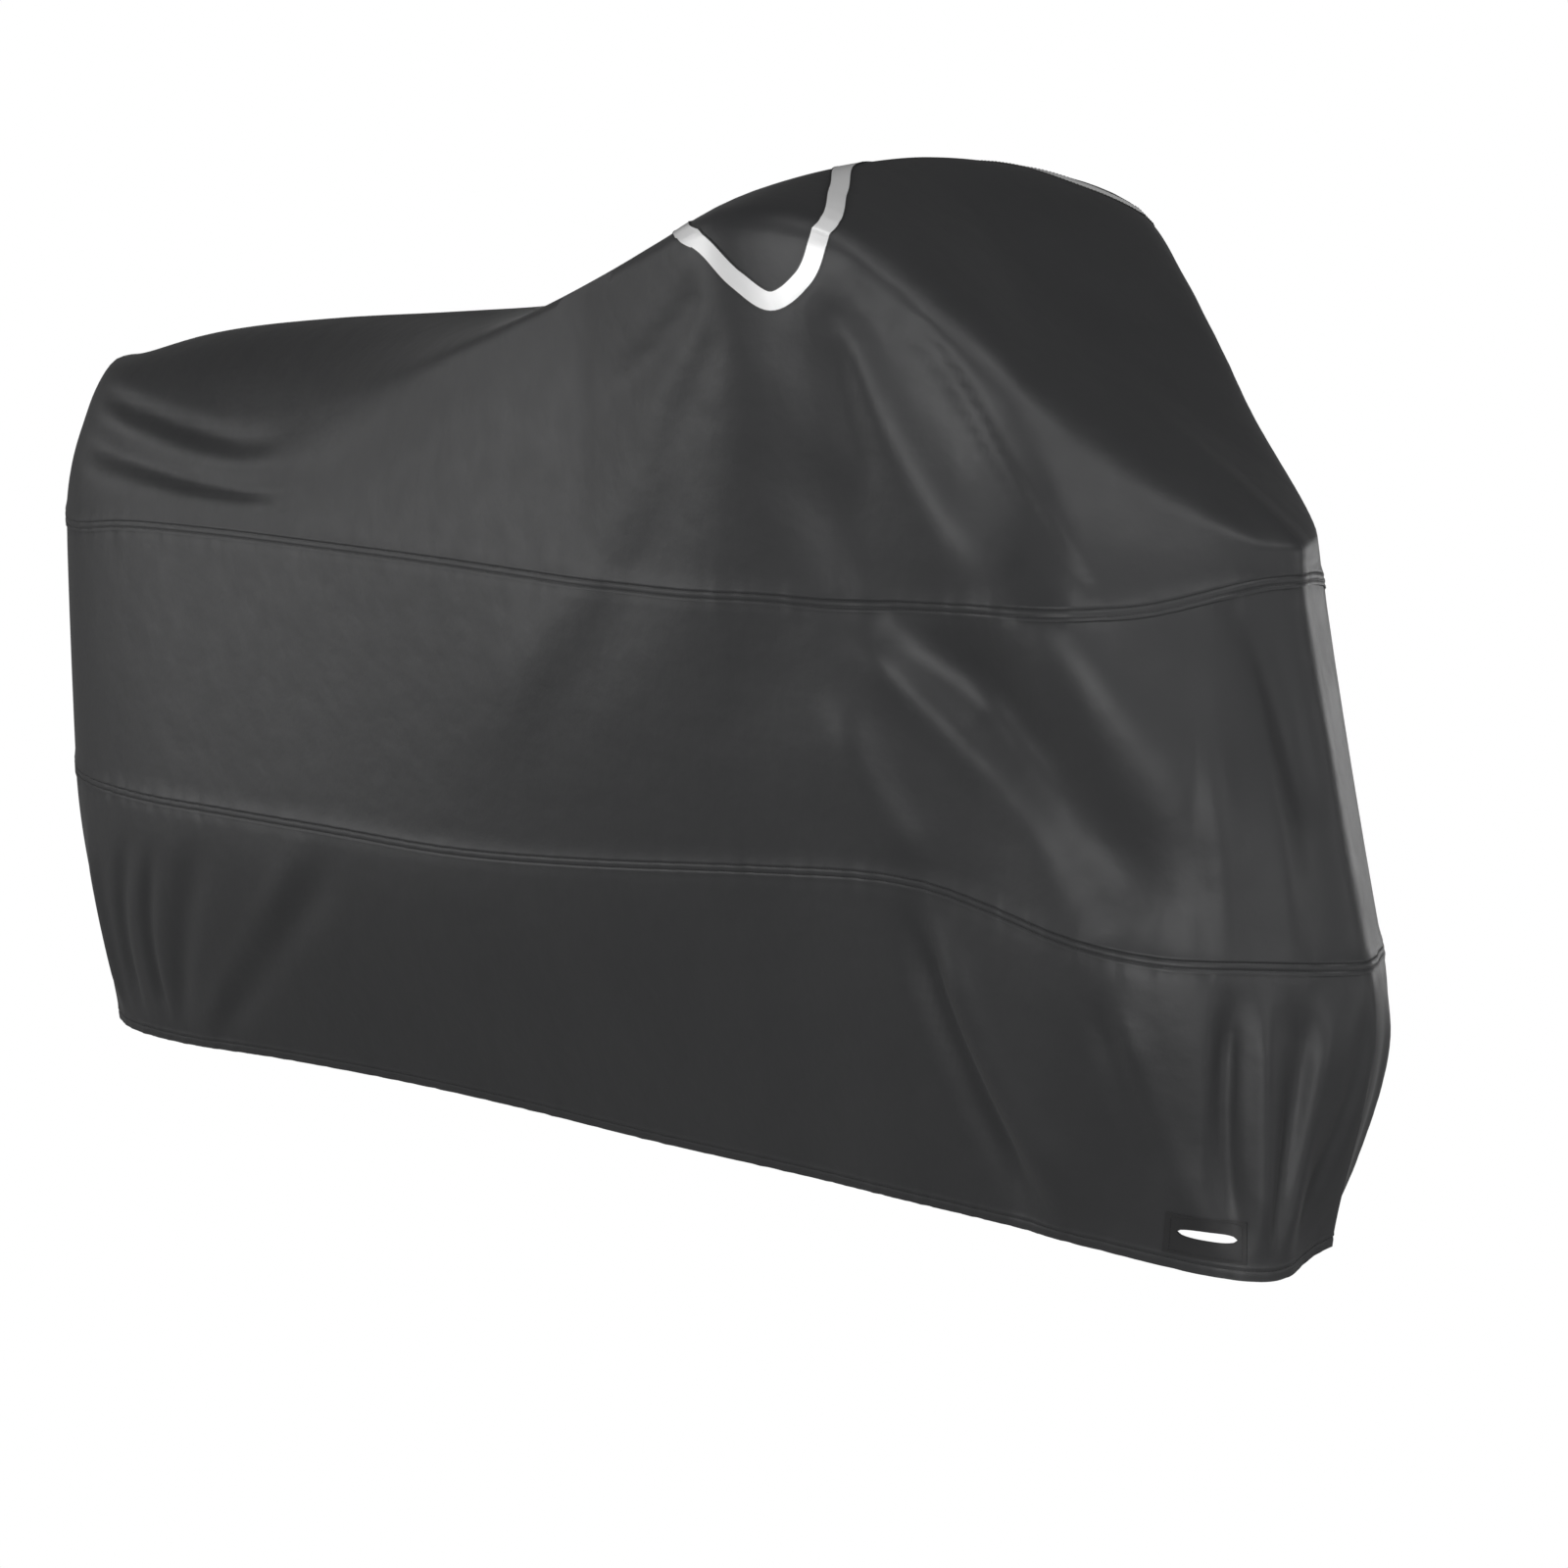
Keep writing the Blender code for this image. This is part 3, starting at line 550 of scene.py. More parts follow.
def folded_ring(stations, grid):
    """A closed ring of cloth with its folds and relief, before it gets its thickness."""
    points, folds, relief, distance = both_sides(stations, grid)
    columns, rows = distance.shape
    quads = grid_quads(columns, rows, closed=True)
    points = points.reshape(-1, 3)
    area = flat_area(points, quads)
    points = points + point_normals(points, quads) * folds.reshape(-1, 1)
    points = points + point_normals(points, quads) * relief.reshape(-1, 1)
    uv = ring_uv(stations, distance).reshape(-1, 2)
    return points, quads, uv, area, (columns, rows)


band_stations = stations_from(BAND_RUNS)
band_points, band_quads, band_uv, band_area, band_shape = folded_ring(
    band_stations, band_grid)
band = mesh_object("band_cloth", band_points, band_quads, band_uv)
thicken(band, CLOTH_THICKNESS)
print("band area, m2:", round(band_area, 3))

# %% [markdown]
# ## The skirt
# The skirt is the same ring with three more details: the turned-up hem, which is thicker and
# has one row of stitches, and a lock slot on each side of the front wheel. Rows
# near the slot are bent into an eye shape before its cells are taken out, so that the slit
# gets rounded ends without any boolean cut.

# %% Hem and slot sizes, in metres
HEM_WIDTH = 0.013
HEM_STITCH = 0.0105
HEM_BULGE = 0.0007
HEM_SLOPE = 0.003               # how far the step from hem to single cloth is spread
HEM_PUCKER, HEM_PUCKER_REACH = 0.8 * PUCKER_DEPTH, 0.020
SLOT_STATIONS = (1.989, 2.033)
SLOT_ROWS = (0.0360, 0.0460)
PATCH_STATIONS = (1.980, 2.041)
PATCH_ROWS = (0.0165, 0.0605)
SLOT_EASE = 0.010               # distance past the slot's ends where rows are straight again
SKIRT_RUNS = ((0, .50, .0050), (.50, 1.45, .0125), (1.45, 1.85, .008),
              (1.85, PATCH_STATIONS[0], .0050), (PATCH_STATIONS[0], SLOT_STATIONS[0], .0037),
              (*SLOT_STATIONS, .0031), (SLOT_STATIONS[1], PATCH_STATIONS[1], .0033),
              (PATCH_STATIONS[1], HALF_GIRTH, .0045))
SKIRT_LOW_ROWS = np.concatenate([np.linspace(0, PATCH_ROWS[0], 10),
                                 np.linspace(PATCH_ROWS[0], SLOT_ROWS[0], 7)[1:],
                                 np.linspace(*SLOT_ROWS, 5)[1:],
                                 np.linspace(SLOT_ROWS[1], PATCH_ROWS[1], 6)[1:]])
SKIRT_ROWS = 22


def eye_rows(distance, stations):
    """Bend rows round the slot so that its opening has rounded ends."""
    middle, half = np.mean(SLOT_ROWS), np.ptp(SLOT_ROWS) / 2
    reach = PATCH_ROWS[1] - middle
    share = (stations - SLOT_STATIONS[0]) / np.ptp(SLOT_STATIONS)
    inside = np.clip(1 - abs(2 * share - 1)**3, 0, 1)**.5
    past = np.maximum(SLOT_STATIONS[0] - stations, stations - SLOT_STATIONS[1])
    opening = np.where(past < 0, inside, smoothstep(past / SLOT_EASE)) * half
    offset = distance - middle
    size = abs(offset)
    opening = opening[:, None]
    inner = size * opening / half
    outer = opening + (size - half) * (reach - opening) / (reach - half)
    bent = np.where(size <= half, inner, np.where(size <= reach, outer, size))
    return middle + np.sign(offset) * bent


def skirt_grid(side, stations):
    lengths, height, distance = panel_rows(side, stations, HEM, LOWER_SEAM,
                                           SKIRT_LOW_ROWS, SEAM_HIGH_ROWS, SKIRT_ROWS)
    distance = eye_rows(distance, stations)
    levels = levels_up(lengths, HEM, distance)
    hem = HEM_BULGE * (1 - smoothstep((distance - HEM_WIDTH) / HEM_SLOPE))
    groove = GROOVE_DEPTH * np.exp(-((distance - HEM_STITCH) / GROOVE_WIDTH)**2)
    waves = pucker(stations, 3.0)[:, None] * np.exp(-(distance / HEM_PUCKER_REACH)**2)
    relief = hem - groove + HEM_PUCKER * waves
    relief += covered_edge_relief(distance - height[:, None], stations, 1.0)
    return (surface(side, stations, levels), fold_height(side, stations, levels), relief,
            distance)


# %% Make the skirt
skirt_stations = stations_from(SKIRT_RUNS)
skirt_points, skirt_quads, skirt_uv, skirt_area, skirt_shape = folded_ring(
    skirt_stations, skirt_grid)
skirt_normals = point_normals(skirt_points, skirt_quads)


def row_number(rows, distance):
    return int(np.argmin(abs(np.asarray(rows) - distance)))


def ring_columns(stations, side, first, last):
    """Columns of one side whose cells lie between two stations."""
    count = len(stations)
    inside = [k for k in range(count - 1)
              if stations[k] >= first - 1e-6 and stations[k + 1] <= last + 1e-6]
    return inside if side == "near" else [2 * count - 3 - k for k in inside]


def cell_block(side, stations_range, rows_range):
    """Which of the skirt's cells lie in a range, as a mask over its quads."""
    columns, rows = skirt_shape
    mask = np.zeros((columns, rows - 1), bool)
    low = row_number(SKIRT_LOW_ROWS, rows_range[0])
    high = row_number(SKIRT_LOW_ROWS, rows_range[1])
    for column in ring_columns(skirt_stations, side, *stations_range):
        mask[column, low:high] = True
    return mask.reshape(-1)


slot_cells = {side: cell_block(side, SLOT_STATIONS, SLOT_ROWS) for side in ("near", "far")}
kept = ~(slot_cells["near"] | slot_cells["far"])
skirt = mesh_object("skirt_cloth", skirt_points, skirt_quads[kept], skirt_uv)
weld(skirt)
thicken(skirt, CLOTH_THICKNESS)
print("skirt area, m2:", round(skirt_area, 3))

# %% [markdown]
# ## The crown
# Up to the shoulder the crown is a ring as well. On top, ribs that fan out from the spine
# would make long splinters of cells, so there the grid runs straight across from side to
# side, and each point drops on to the surface along a ray.

# %% Helpers for the crown
CAP_LEVEL = 3.40                # where the ring ends and the cross-wise grid begins
TOP_FROM = 2.90                 # lowest level of the surface that the rays are cast on
CAP_CELLS = 40                  # cells across the top
CAP_SMOOTHING = 6
BESIDE = 1e-4                   # rays pass beside the exact middle, where two grids meet
CENTRE_GAP = 2e-5               # widest gap where the crown's two sides meet at its ends
CROWN_ROWS = 24
CROWN_RUNS = ((0, .30, .008), (.30, 1.40, .012), (1.40, HALF_GIRTH, .0075))


def crown_grid(side, stations):
    lengths, _, distance = panel_rows(side, stations, UPPER_SEAM, CAP_LEVEL,
                                      SEAM_LOW_ROWS, (0.0,), CROWN_ROWS)
    levels = levels_up(lengths, UPPER_SEAM, distance)
    relief = lapped_edge_relief(distance, stations, 2.0)
    return (surface(side, stations, levels), fold_height(side, stations, levels), relief,
            distance)


def top_height():
    """Height of the smooth cover above each place of the plan, from a ray cast down."""
    levels = np.linspace(TOP_FROM, SPINE, 140)
    dense = np.linspace(0, HALF_GIRTH, 900)
    vertices, faces = [], []
    for side in ("near", "far"):
        grid = surface(side, dense, levels)
        quads = grid_quads(len(dense), len(levels), closed=False) + len(vertices)
        vertices += grid.reshape(-1, 3).tolist()
        faces += quads.tolist()
    tree = BVHTree.FromPolygons(vertices, faces)

    def height(x, y):
        hit = tree.ray_cast(Vector((x, y + BESIDE, 2.0)), Vector((0, 0, -1)))[0]
        if hit is None:
            hit = tree.find_nearest(Vector((x, y, .9)))[0]
        return hit.z

    return height


def cap_grid(near_edge, far_edge, height):
    """Points across the top, from each near edge point to its far one."""
    share = np.linspace(0, 1, CAP_CELLS + 1)[1:-1]
    grid = near_edge[:, None] + (far_edge - near_edge)[:, None] * share[None, :, None]
    for row in grid.reshape(-1, 3):
        row[2] = height(row[0], row[1])
    grid[0], grid[-1] = near_edge[0], near_edge[-1]
    whole = np.concatenate([near_edge[:, None], grid, far_edge[:, None]], 1)
    for _ in range(CAP_SMOOTHING):
        inner = whole[1:-1, 1:-1, 2]
        whole[1:-1, 1:-1, 2] = (2 * inner + whole[1:-1, :-2, 2] + whole[1:-1, 2:, 2]) / 4
    return whole[:, 1:-1]


def shared_normals(points, quads, shape):
    """Normals of the crown, averaged where the near and far columns meet at both ends."""
    normals = point_normals(points, quads).reshape(*shape, 3)
    for end in (0, -1):
        normals[end] = unit(normals[end] + normals[end, ::-1])
    return normals.reshape(-1, 3)


# %% Lay out the crown's grid
crown_stations = stations_from(CROWN_RUNS)
near, far = [crown_grid(side, crown_stations) for side in ("near", "far")]
near_edge, far_edge = near[0][:, -1], far[0][:, -1]
cap = cap_grid(near_edge, far_edge, top_height())
flat_cap = np.zeros(cap.shape[:2])
crown_points, crown_folds, crown_relief = [
    np.concatenate([one, top, other[:, ::-1]], 1)
    for one, top, other in zip(near, (cap, flat_cap, flat_cap), far)]
cap_half = np.linalg.norm(far_edge - near_edge, axis=1)[:, None]
cap_up = near[3][:, -1:] + cap_half * np.linspace(0, 1, CAP_CELLS + 1)[1:-1]
far_up = near[3][:, -1:] + cap_half + (far[3][:, -1:] - far[3][:, ::-1])
crown_up = np.concatenate([near[3], cap_up, far_up], 1)
crown_shape = crown_up.shape
crown_quads = grid_quads(*crown_shape, closed=False)
crown_uv = np.stack([np.broadcast_to(crown_stations[:, None], crown_shape), crown_up], -1)
crown_points = crown_points.reshape(-1, 3)
crown_area = flat_area(crown_points, crown_quads)
print("crown grid:", crown_shape, "area, m2:", round(crown_area, 3))

# %% Make the crown
for push in (crown_folds, crown_relief):
    outward = shared_normals(crown_points, crown_quads, crown_shape)
    crown_points = crown_points + outward * push.reshape(-1, 1)
crown = mesh_object("crown_cloth", crown_points, crown_quads, crown_uv.reshape(-1, 2))
weld(crown, CENTRE_GAP)
thicken(crown, CLOTH_THICKNESS)

# %% [markdown]
# ## The reflective tape
# The tape is a narrow band laid over the crown. Its centre line is a smooth closed curve
# through a few places near each bar end; each cross-section is dropped on to
# the finished crown, so that the tape follows every fold under it.

# %% The tape's route and helpers
# Stations and levels of the centre line on the near side, from the spine and back to it.
TAPE_ROUTE = (
    (1.300, 4.00), (1.345, 3.58), (1.395, 3.20), (1.426, 3.04), (1.451, 2.92), (1.488, 2.77),
    (1.519, 2.71), (1.545, 2.78), (1.558, 2.92), (1.563, 3.12), (1.539, 3.45), (1.482, 3.69),
    (1.440, 4.00),
)
TAPE_WIDTH = 0.022
TAPE_THICKNESS = 0.0007
TAPE_SEAT = 0.0005
TAPE_STEPS = 420
TAPE_STRIPS = 8
TAPE_SMOOTHING = 3
SEAT_START = 0.03               # how far outside the cloth a ray sets out
INSIDE_HEIGHT = 0.85            # rays come from the outside towards places at this height
TAPE_LEAN = 0.35                # and at this share of the point's distance from the middle

crown_tree = BVHTree.FromPolygons([tuple(v.co) for v in crown.data.vertices],
                                  [tuple(p.vertices) for p in crown.data.polygons])


def closed_curve(points, count):
    around = np.vstack([points[-3:], points, points[:3]])
    length = np.concatenate([[0], np.cumsum(np.linalg.norm(np.diff(around, axis=0), axis=1))])
    query = np.linspace(length[3], length[-3], count, endpoint=False)
    return smooth_curve(length, around, query), length[-3] - length[3]


def seat_on(tree, point, outward):
    """The place on the cloth's outer face below a point, and its normal."""
    start = Vector(point) + Vector(outward) * SEAT_START
    hit, normal, _, _ = tree.ray_cast(start, -Vector(outward))
    if hit is None:
        hit, normal, _, _ = tree.find_nearest(Vector(point))
    return np.array(hit), np.array(normal)


# %% Make the tape
route_near = np.array([surface("near", [s], np.array([v]))[0, 0] for s, v in TAPE_ROUTE])
route_far = route_near[-2:0:-1] * (1, -1, 1)
tape_line, tape_length = closed_curve(np.vstack([route_near, route_far]), TAPE_STEPS)
tape_way = unit(np.roll(tape_line, -1, axis=0) - np.roll(tape_line, 1, axis=0))
tape_points, tape_normals = [], []
for point, way in zip(tape_line, tape_way):
    outward = unit(point - (point * (1, TAPE_LEAN, 0) + (0, 0, INSIDE_HEIGHT)))
    seat, normal = seat_on(crown_tree, point, outward)
    across = unit(np.cross(way, normal))
    for share in np.linspace(.5, -.5, TAPE_STRIPS + 1):
        edge, edge_normal = seat_on(crown_tree, seat + across * share * TAPE_WIDTH, normal)
        tape_points.append(edge)
        tape_normals.append(edge_normal)
tape_points = np.array(tape_points).reshape(TAPE_STEPS, -1, 3)
tape_normals = np.array(tape_normals).reshape(TAPE_STEPS, -1, 3)
for _ in range(TAPE_SMOOTHING):
    tape_normals = unit(tape_normals + np.roll(tape_normals, 1, 0)
                        + np.roll(tape_normals, -1, 0))
tape_points = tape_points + tape_normals * (TAPE_SEAT + TAPE_THICKNESS)
tape_quads = grid_quads(TAPE_STEPS, TAPE_STRIPS + 1, closed=True)
tape_uv = np.stack(np.meshgrid(np.linspace(0, tape_length, TAPE_STEPS),
                               np.linspace(0, TAPE_WIDTH, TAPE_STRIPS + 1), indexing="ij"), -1)
tape = mesh_object("silver_tape", tape_points.reshape(-1, 3), tape_quads,
                   tape_uv.reshape(-1, 2))
thicken(tape, TAPE_THICKNESS)
print("tape length, m:", round(float(tape_length), 3))

# %% [markdown]
# ## The lock patches
# A patch is the skirt's own grid once more, lifted off by the thickness of the cloth, so it
# follows the skirt exactly and shares the shape of the slot.

# %% Make the lock patches
PATCH_THICKNESS = 0.0010
PATCH_SEAT = 0.0003
patches, patch_areas = {}, {}
for side in ("near", "far"):
    block = cell_block(side, PATCH_STATIONS, PATCH_ROWS) & ~slot_cells[side]
    quads = skirt_quads[block]
    used = np.unique(quads)
    number = np.full(len(skirt_points), -1)
    number[used] = np.arange(len(used))
    lifted = skirt_points + skirt_normals * (PATCH_SEAT + PATCH_THICKNESS)
    patches[side] = mesh_object("lock_patch_" + side + "_cloth", lifted[used], number[quads],
                                skirt_uv[used])
    weld(patches[side])
    thicken(patches[side], PATCH_THICKNESS)
    patch_areas[side] = flat_area(lifted, quads)
    print(side, "patch area, m2:", round(patch_areas[side], 5))

# %% [markdown]
# ## Stitches
# Thousands of stitches are the same small bead of thread, repeated along a line. That is
# what Geometry Nodes do best: resample each line to the stitch length, put one bead
# on each point, and turn it along the line with its flat side on the cloth.

# %% Helpers for node trees


def add(tree, kind, **values):
    """A new node, with constants for its sockets (an underscore stands for a space)."""
    node = tree.nodes.new(kind)
    for socket, value in values.items():
        node.inputs[socket.replace("_", " ")].default_value = value
    return node


def join(giver, output, taker, socket):
    giver.id_data.links.new(giver.outputs[output], taker.inputs[socket])


# %% A node tree that sews a line
STITCH_PITCH = 0.0042
STITCH_LENGTH = 0.0030
THREAD_WIDTH = 0.0007
THREAD_LIFT = 0.25              # how far a stitch stands out, as a share of its width


def sewing_tree():
    """Node tree: beads of thread along each line, upright on its "facing" direction."""
    tree = bpy.data.node_groups.new("sew_along_lines", "GeometryNodeTree")
    face = tree.interface
    face.new_socket("Lines", in_out="INPUT", socket_type="NodeSocketGeometry")
    sockets = {name: face.new_socket(name, in_out="INPUT", socket_type="NodeSocketFloat")
               for name in ("Pitch", "Stitch Length", "Thread Width")}
    sockets["Thread"] = face.new_socket("Thread", in_out="INPUT",
                                        socket_type="NodeSocketMaterial")
    face.new_socket("Stitches", in_out="OUTPUT", socket_type="NodeSocketGeometry")
    given, result = add(tree, "NodeGroupInput"), add(tree, "NodeGroupOutput")
    curve = add(tree, "GeometryNodeMeshToCurve")
    points = add(tree, "GeometryNodeResampleCurve")
    points.mode = "LENGTH"
    join(given, "Lines", curve, "Mesh")
    join(curve, "Curve", points, "Curve")
    join(given, "Pitch", points, "Length")
    bead = add(tree, "GeometryNodeMeshUVSphere", Segments=5, Rings=4, Radius=.5)
    size = add(tree, "ShaderNodeCombineXYZ")
    shaped = add(tree, "GeometryNodeTransform")
    join(given, "Thread Width", size, "X")
    join(given, "Thread Width", size, "Y")
    join(given, "Stitch Length", size, "Z")
    join(bead, "Mesh", shaped, "Geometry")
    join(size, "Vector", shaped, "Scale")
    tangent = add(tree, "GeometryNodeInputTangent")
    facing = add(tree, "GeometryNodeInputNamedAttribute", Name="facing")
    facing.data_type = "FLOAT_VECTOR"
    turn = add(tree, "FunctionNodeAxesToRotation")
    turn.primary_axis, turn.secondary_axis = "Z", "X"
    join(tangent, "Tangent", turn, "Primary Axis")
    join(facing, "Attribute", turn, "Secondary Axis")
    sewn = add(tree, "GeometryNodeInstanceOnPoints")
    join(points, "Curve", sewn, "Points")
    join(shaped, "Geometry", sewn, "Instance")
    join(turn, "Rotation", sewn, "Rotation")
    real = add(tree, "GeometryNodeRealizeInstances")
    finish = add(tree, "GeometryNodeSetMaterial")
    join(sewn, "Instances", real, "Geometry")
    join(real, "Geometry", finish, "Geometry")
    join(given, "Thread", finish, "Material")
    join(finish, "Geometry", result, "Stitches")
    return tree, {name: socket.identifier for name, socket in sockets.items()}


SEWING_TREE, SEWING_INPUTS = sewing_tree()
print("sewing tree:", len(SEWING_TREE.nodes), "nodes")

# %% [markdown]
# ## The cloth's finish
# Coated polyester is charcoal, with a dull, broad gloss from the coating. Three things
# keep it from looking like plastic: a fine plain weave, soft crinkles left by folding, and a
# faint unevenness of tone. The weave reads the UV map in metres; the rest reads Object
# coordinates, so that it runs on across the seams.

# %% Helpers for materials


def node_material(name):
    """A new material with its node tree and its shader."""
    made = bpy.data.materials.new(name)
    made.use_nodes = True
    return made, made.node_tree, made.node_tree.nodes["Principled BSDF"]


def blend(tree, first, second, factor, shader):
    """Mix two constant colours by a noise and give the result to a shader."""
    mix = add(tree, "ShaderNodeMix")
    mix.data_type = "RGBA"
    mix.inputs["A"].default_value = first
    mix.inputs["B"].default_value = second
    join(*factor, mix, "Factor")
    join(mix, "Result", shader, "Base Color")


def grey(value):
    return (value, value, value, 1)


# %% Cloth material
CLOTH_DARK = (.024, .0245, .026, 1)
CLOTH_LIGHT = (.032, .0325, .034, 1)
PATCH_DARK = (.012, .012, .013, 1)
PATCH_LIGHT = (.018, .018, .019, 1)
WEAVE_PITCH = 0.0011
WAVES_A_METRE = 0.314           # scale at which a wave texture repeats once a metre


def cloth_material(name, dark, light, roughness):
    made, tree, shader = node_material(name)
    place = add(tree, "ShaderNodeTexCoord")
    tone = add(tree, "ShaderNodeTexNoise", Scale=7.0, Detail=4.0)
    crinkle = add(tree, "ShaderNodeTexNoise", Scale=26.0, Detail=5.0, Roughness=.45)
    join(place, "Object", tone, "Vector")
    join(place, "Object", crinkle, "Vector")
    blend(tree, dark, light, (tone, "Fac"), shader)
    dullness = add(tree, "ShaderNodeMapRange", To_Min=roughness - .05, To_Max=roughness + .05)
    join(crinkle, "Fac", dullness, "Value")
    join(dullness, "Result", shader, "Roughness")
    weave = add(tree, "ShaderNodeMath")
    weave.operation = "MULTIPLY"
    for slot, direction in enumerate("XY"):
        wave = add(tree, "ShaderNodeTexWave", Scale=WAVES_A_METRE / WEAVE_PITCH, Distortion=.6)
        wave.bands_direction = direction
        join(place, "UV", wave, "Vector")
        join(wave, "Fac", weave, slot)
    soft = add(tree, "ShaderNodeBump", Strength=.35, Distance=.0035)
    fine = add(tree, "ShaderNodeBump", Strength=.12, Distance=.0002)
    join(crinkle, "Fac", soft, "Height")
    join(weave, "Value", fine, "Height")
    join(soft, "Normal", fine, "Normal")
    join(fine, "Normal", shader, "Normal")
    shader.inputs["Specular IOR Level"].default_value = .5
    shader.inputs["Sheen Weight"].default_value = .10
    shader.inputs["Sheen Roughness"].default_value = .5
    return made


CLOTH = cloth_material("coated_cloth", CLOTH_DARK, CLOTH_LIGHT, .48)
PATCH_CLOTH = cloth_material("patch_cloth", PATCH_DARK, PATCH_LIGHT, .55)
print("finishes:", CLOTH.name, PATCH_CLOTH.name)

# %% [markdown]
# ## Tape and thread
# The tape is silver beads of glass under a clear skin: bright, with a soft shine. Its two
# edges are bound in dark thread, drawn here from the UV map's distance to the edge.

# %% Tape material
TAPE_BORDER = (.0016, .0010)    # distances from the edge where the dark binding sets in


def tape_material():
    made, tree, shader = node_material("silver_reflective")
    place = add(tree, "ShaderNodeTexCoord")
    split = add(tree, "ShaderNodeSeparateXYZ")
    offset, size = add(tree, "ShaderNodeMath"), add(tree, "ShaderNodeMath")
    offset.operation, size.operation = "SUBTRACT", "ABSOLUTE"
    offset.inputs[1].default_value = TAPE_WIDTH / 2
    edge = add(tree, "ShaderNodeMapRange", From_Min=TAPE_WIDTH / 2 - TAPE_BORDER[0],
               From_Max=TAPE_WIDTH / 2 - TAPE_BORDER[1])
    join(place, "UV", split, "Vector")
    join(split, "Y", offset, 0)
    join(offset, "Value", size, 0)
    join(size, "Value", edge, "Value")
    blend(tree, grey(.90), grey(.06), (edge, "Result"), shader)
    wear = add(tree, "ShaderNodeTexNoise", Scale=60.0)
    dullness = add(tree, "ShaderNodeMapRange", To_Min=.30, To_Max=.45)
    bump = add(tree, "ShaderNodeBump", Strength=.25, Distance=.0010)
    join(place, "Object", wear, "Vector")
    join(wear, "Fac", dullness, "Value")
    join(dullness, "Result", shader, "Roughness")
    join(wear, "Fac", bump, "Height")
    join(bump, "Normal", shader, "Normal")
    shader.inputs["Metallic"].default_value = .15
    return made


# %% Thread material


def thread_material():
    made, tree, shader = node_material("black_thread")
    place = add(tree, "ShaderNodeTexCoord")
    lay = add(tree, "ShaderNodeTexNoise", Scale=900.0)
    join(place, "Object", lay, "Vector")
    blend(tree, grey(.010), (.030, .030, .031, 1), (lay, "Fac"), shader)
    shader.inputs["Roughness"].default_value = .6
    return made


# %% Give each piece its finish
THREAD = thread_material()
finishes = [(CLOTH, (crown, band, skirt)), (PATCH_CLOTH, patches.values()),
            (tape_material(), (tape,))]
for finish, pieces in finishes:
    for piece in pieces:
        piece.data.materials.append(finish)
        print(piece.name, "is", finish.name)

# %% [markdown]
# ## Sewing it together
# Each line of stitches is read off the cloth it goes through: a row of its grid, lifted by a
# quarter of a thread. The lines carry the cloth's normal in an attribute, which the node tree
# reads.

# %% Stitch lines


def ring_line(points, quads, shape, uv, distance):
    """A closed line along one distance of a ring-shaped panel, with its normals."""
    normals = point_normals(points, quads).reshape(*shape, 3)
    grid, up = points.reshape(*shape, 3), uv[:, 1].reshape(shape)
    row = np.clip((up <= distance).sum(1) - 1, 0, shape[1] - 2)
    pick = np.arange(shape[0])
    share = ((distance - up[pick, row]) / (up[pick, row + 1] - up[pick, row]))[:, None]
    line = grid[pick, row] * (1 - share) + grid[pick, row + 1] * share
    return line, normals[pick, row], True


def sew(name, lines):
    """One object with the stitches of all the lines. Each line is (points, normals, closed)."""
    vertices, edges, facing = [], [], []
    for points, normals, closed in lines:
        first, count = len(vertices), len(points)
        vertices += (points + normals * THREAD_WIDTH * THREAD_LIFT).tolist()
        facing += normals.tolist()
        edges += [(first + k, first + k + 1) for k in range(count - 1)]
        edges += [(first + count - 1, first)] if closed else []
    mesh = bpy.data.meshes.new(name)
    mesh.from_pydata(vertices, edges, [])
    held = mesh.attributes.new("facing", "FLOAT_VECTOR", "POINT")
    held.data.foreach_set("vector", np.array(facing, np.float32).ravel())
    made = bpy.data.objects.new(name, mesh)
    bpy.context.collection.objects.link(made)
    sewing = made.modifiers.new("sewing", "NODES")
    sewing.node_group = SEWING_TREE
    given = {"Pitch": STITCH_PITCH, "Stitch Length": STITCH_LENGTH,
             "Thread Width": THREAD_WIDTH, "Thread": THREAD}
    for socket, value in given.items():
        sewing[SEWING_INPUTS[socket]] = value
    finish_mesh(made)
    made.data.shade_smooth()
    print(name, len(made.data.polygons), "faces")
    return made


def crown_line(distance):
    """A closed line along one distance above the crown's edge, off both its sides."""
    row = row_number(SEAM_LOW_ROWS, distance)
    return (*[np.concatenate([grid[:, row], grid[::-1, -1 - row][1:-1]])
              for grid in (crown_points.reshape(*crown_shape, 3),
                           crown_normals.reshape(*crown_shape, 3))], True)


# %% Sew the seams and the hem
lower_stitches = sew("lower_seam_stitches", [
    ring_line(band_points, band_quads, band_shape, band_uv, row) for row in STITCH_ROWS])
hem_stitches = sew("hem_stitches", [
    ring_line(skirt_points, skirt_quads, skirt_shape, skirt_uv, HEM_STITCH)])
crown_normals = shared_normals(crown_points, crown_quads, crown_shape)
upper_stitches = sew("upper_seam_stitches", [crown_line(row) for row in STITCH_ROWS])

# %% Sew the tape
EDGE_INSET = 0.07               # from the tape's edge, as a share of its half width
edge_lines = []
for column in (0, TAPE_STRIPS):
    inset = (tape_points[:, column] * (1 - EDGE_INSET)
             + tape_points[:, TAPE_STRIPS // 2] * EDGE_INSET)
    edge_lines.append((inset, tape_normals[:, column], True))
tape_stitches = sew("tape_stitches", edge_lines)

# %% Sew the patches


